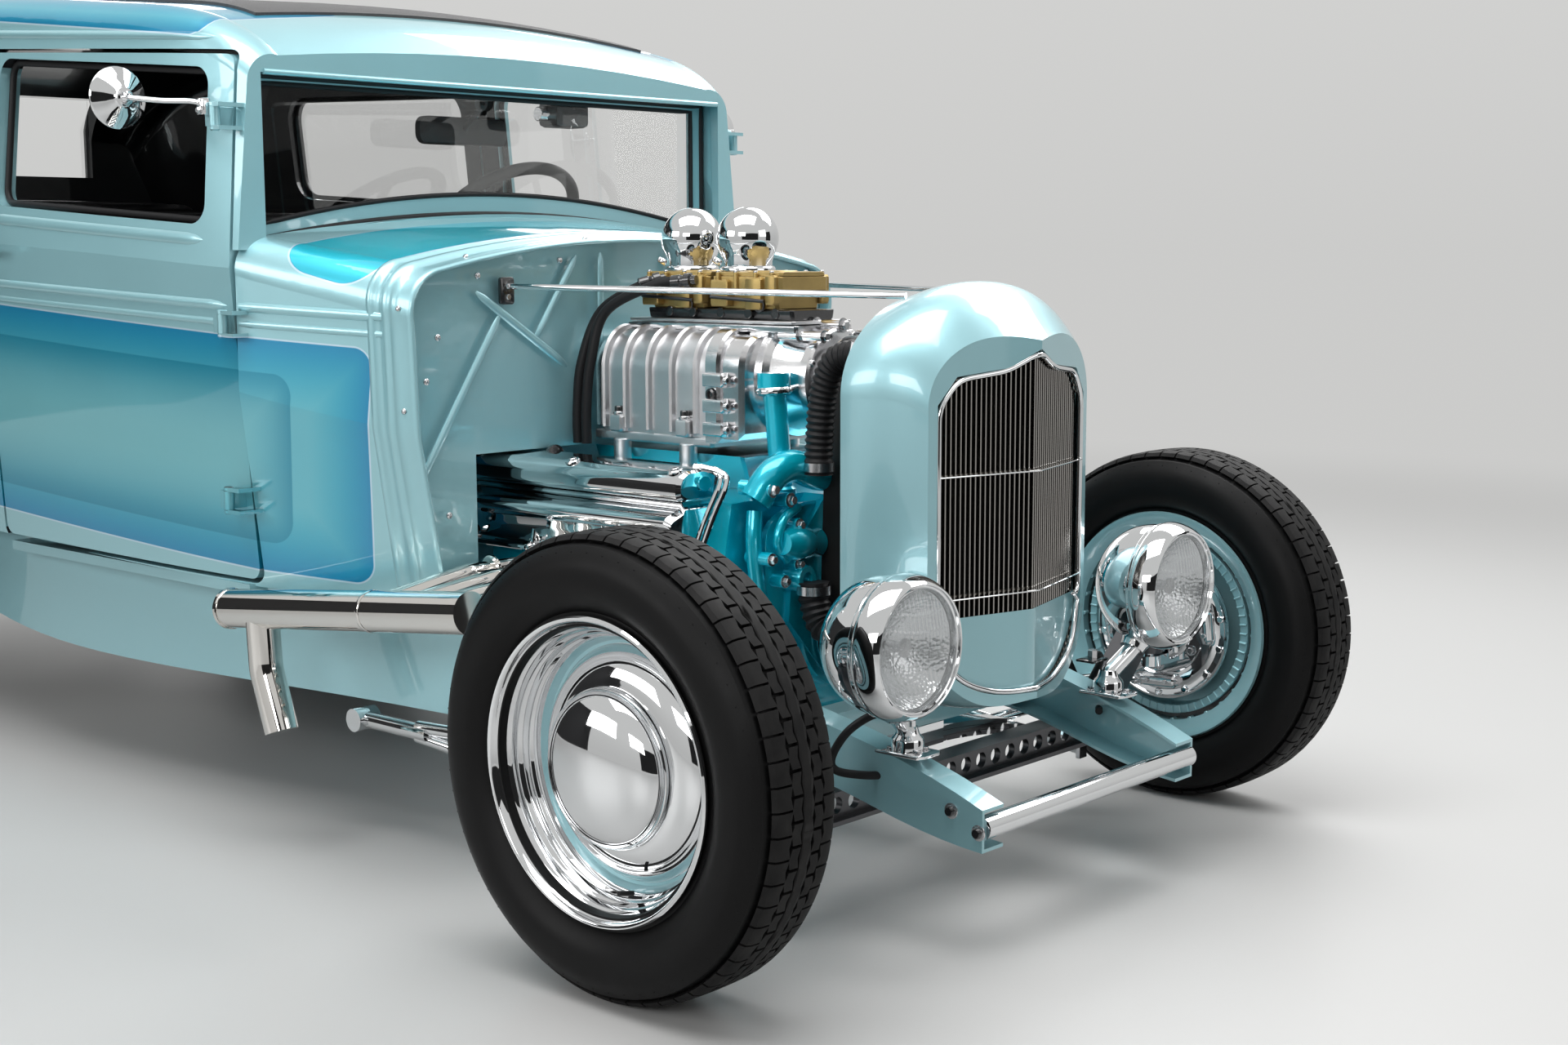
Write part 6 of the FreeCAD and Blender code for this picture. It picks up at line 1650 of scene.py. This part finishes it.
def lamp(name, at, target, size, watts):
    """A soft rectangular light that points at a target."""
    data = bpy.data.lights.new(name, "AREA")
    data.shape = "RECTANGLE"
    data.size, data.size_y = size
    data.energy = watts
    made = bpy.data.objects.new(name, data)
    made.location = at
    made.rotation_mode = "QUATERNION"
    made.rotation_quaternion = (Vector(target) - Vector(at)).to_track_quat("-Z", "Y")
    scene.collection.objects.link(made)


def seen_rays(tree):
    """1 for camera, glossy and transmission rays, by which a background is seen."""
    rays = tree.nodes.new("ShaderNodeLightPath")
    seen = rays.outputs["Is Camera Ray"]
    for kind in ("Is Glossy Ray", "Is Transmission Ray"):
        larger = tree.nodes.new("ShaderNodeMath")
        larger.operation = "MAXIMUM"
        tree.links.new(seen, larger.inputs[0])
        tree.links.new(rays.outputs[kind], larger.inputs[1])
        seen = larger.outputs[0]
    return seen


def mix_shaders(tree, share, first, second, output):
    """Show the second shader where share is 1."""
    mix = tree.nodes.new("ShaderNodeMixShader")
    for source, socket in zip((share, first, second), mix.inputs):
        tree.links.new(source, socket)
    tree.links.new(mix.outputs[0], output)


HAZE = (0.6, 0.6, 0.592, 1)


def studio_floor():
    """A pale floor that runs into an even surround far from the car."""
    finish = Finish("studio_floor", (0.5, 0.5, 0.495), 0.4, Specular_IOR_Level=0.35).grain(0.00005, 180.0)
    tree = finish.tree
    length = finish.node("VectorMath", operation="LENGTH")
    tree.links.new(finish.node("NewGeometry").outputs["Position"], length.inputs[0])
    far = finish.node("MapRange", interpolation_type="SMOOTHSTEP")
    far.inputs["From Min"].default_value = 2.6
    far.inputs["From Max"].default_value = 7.0
    tree.links.new(length.outputs["Value"], far.inputs["Value"])
    haze = finish.node("Emission", Color=HAZE)
    share = Field(tree, seen_rays(tree)) * Field(tree, far.outputs["Result"])
    output = tree.nodes["Material Output"].inputs["Surface"]
    mix_shaders(tree, share.socket, output.links[0].from_socket, haze.outputs[0], output)
    floor = Piece("studio_floor", finish)
    floor.grid([[(x, y, 0.0) for y in (-30, 30)] for x in (-30, 30)])
    bmesh.ops.recalc_face_normals(floor.mesh, faces=floor.mesh.faces)
    floor.shape()


def studio_world():
    """A dim pale surround for the light, and a brighter one for what is seen."""
    world = bpy.data.worlds.new("studio")
    world.use_nodes = True
    tree = world.node_tree
    back = tree.nodes["Background"]
    back.inputs["Color"].default_value = (0.8, 0.8, 0.79, 1)
    back.inputs["Strength"].default_value = 0.26
    seen = tree.nodes.new("ShaderNodeBackground")
    ramp = tree.nodes.new("ShaderNodeValToRGB")
    for element, position, colour in zip(ramp.color_ramp.elements, (0.5, 0.66), (HAZE, (0.7, 0.7, 0.69, 1))):
        element.position = position
        element.color = colour
    split = tree.nodes.new("ShaderNodeSeparateXYZ")
    scale = tree.nodes.new("ShaderNodeMath")
    scale.operation = "MULTIPLY_ADD"
    scale.inputs[1].default_value = 0.5
    scale.inputs[2].default_value = 0.5
    place = tree.nodes.new("ShaderNodeTexCoord")
    for source, socket in ((place.outputs["Generated"], split.inputs[0]),
                           (split.outputs["Z"], scale.inputs[0]),
                           (scale.outputs[0], ramp.inputs[0]),
                           (ramp.outputs[0], seen.inputs["Color"])):
        tree.links.new(source, socket)
    output = tree.nodes["World Output"].inputs["Surface"]
    mix_shaders(tree, seen_rays(tree), back.outputs[0], seen.outputs[0], output)
    scene.world = world


def flags():
    """Dark cards that only reflections show, for the dark bands in the chrome."""
    for name, turn, width, away in (("flag_camera", -0.62, 9.0, 8.5), ("flag_side", -2.58, 6.4, 5.6),
                                    ("flag_front", 0.52, 3.0, 8.5)):
        card = Piece(name, FLAG)
        middle = Vector((math.cos(turn), math.sin(turn), 0)) * away
        along = Vector((-math.sin(turn), math.cos(turn), 0)) * (width / 2)
        card.grid([[middle + along * end + Vector((0, 0, z)) for end in (-1, 1)] for z in (0.02, 3.3)])
        stand = card.shape()
        stand.visible_camera = False
        stand.visible_diffuse = False
        stand.visible_shadow = False
        stand.visible_transmission = False


def studio():
    """A pale floor and surround, with a large soft key from above and weak fills."""
    studio_floor()
    studio_world()
    flags()
    lamp("key", (1.2, -1.2, 4.4), (0.3, 0, 0.6), (4.4, 2.6), 205)
    lamp("far_top", (0.6, 3.6, 4.2), (0.4, 0, 0.9), (5.0, 2.4), 225)
    lamp("front", (5.6, 0.8, 2.2), (0.8, 0, 0.7), (2.4, 1.8), 16)
    lamp("front_side", (3.0, -5.2, 2.3), (1.2, 0, 0.5), (2.6, 1.2), 62)
    lamp("side", (-1.6, -5.2, 2.4), (-0.4, 0, 0.7), (3.4, 1.6), 84)
    lamp("back", (-4.8, 3.6, 3.0), (-0.6, 0, 0.8), (3.0, 1.8), 50)
    scene.view_settings.view_transform = "Standard"


camera()
studio()
dress_nodes()
wheels()
valve_covers()
blower()
carburettors()
scoops()
hoses()
castings()
belt()
body_beads()
cowl_rim()
firewall()
lamps()
brake_lines()
grille_trim()
screen_seals()
seats()
dials()
rear_trim()
exhaust_trim()
brakes()
rear_view()
mirrors()
body_mouldings()
visor_lip()
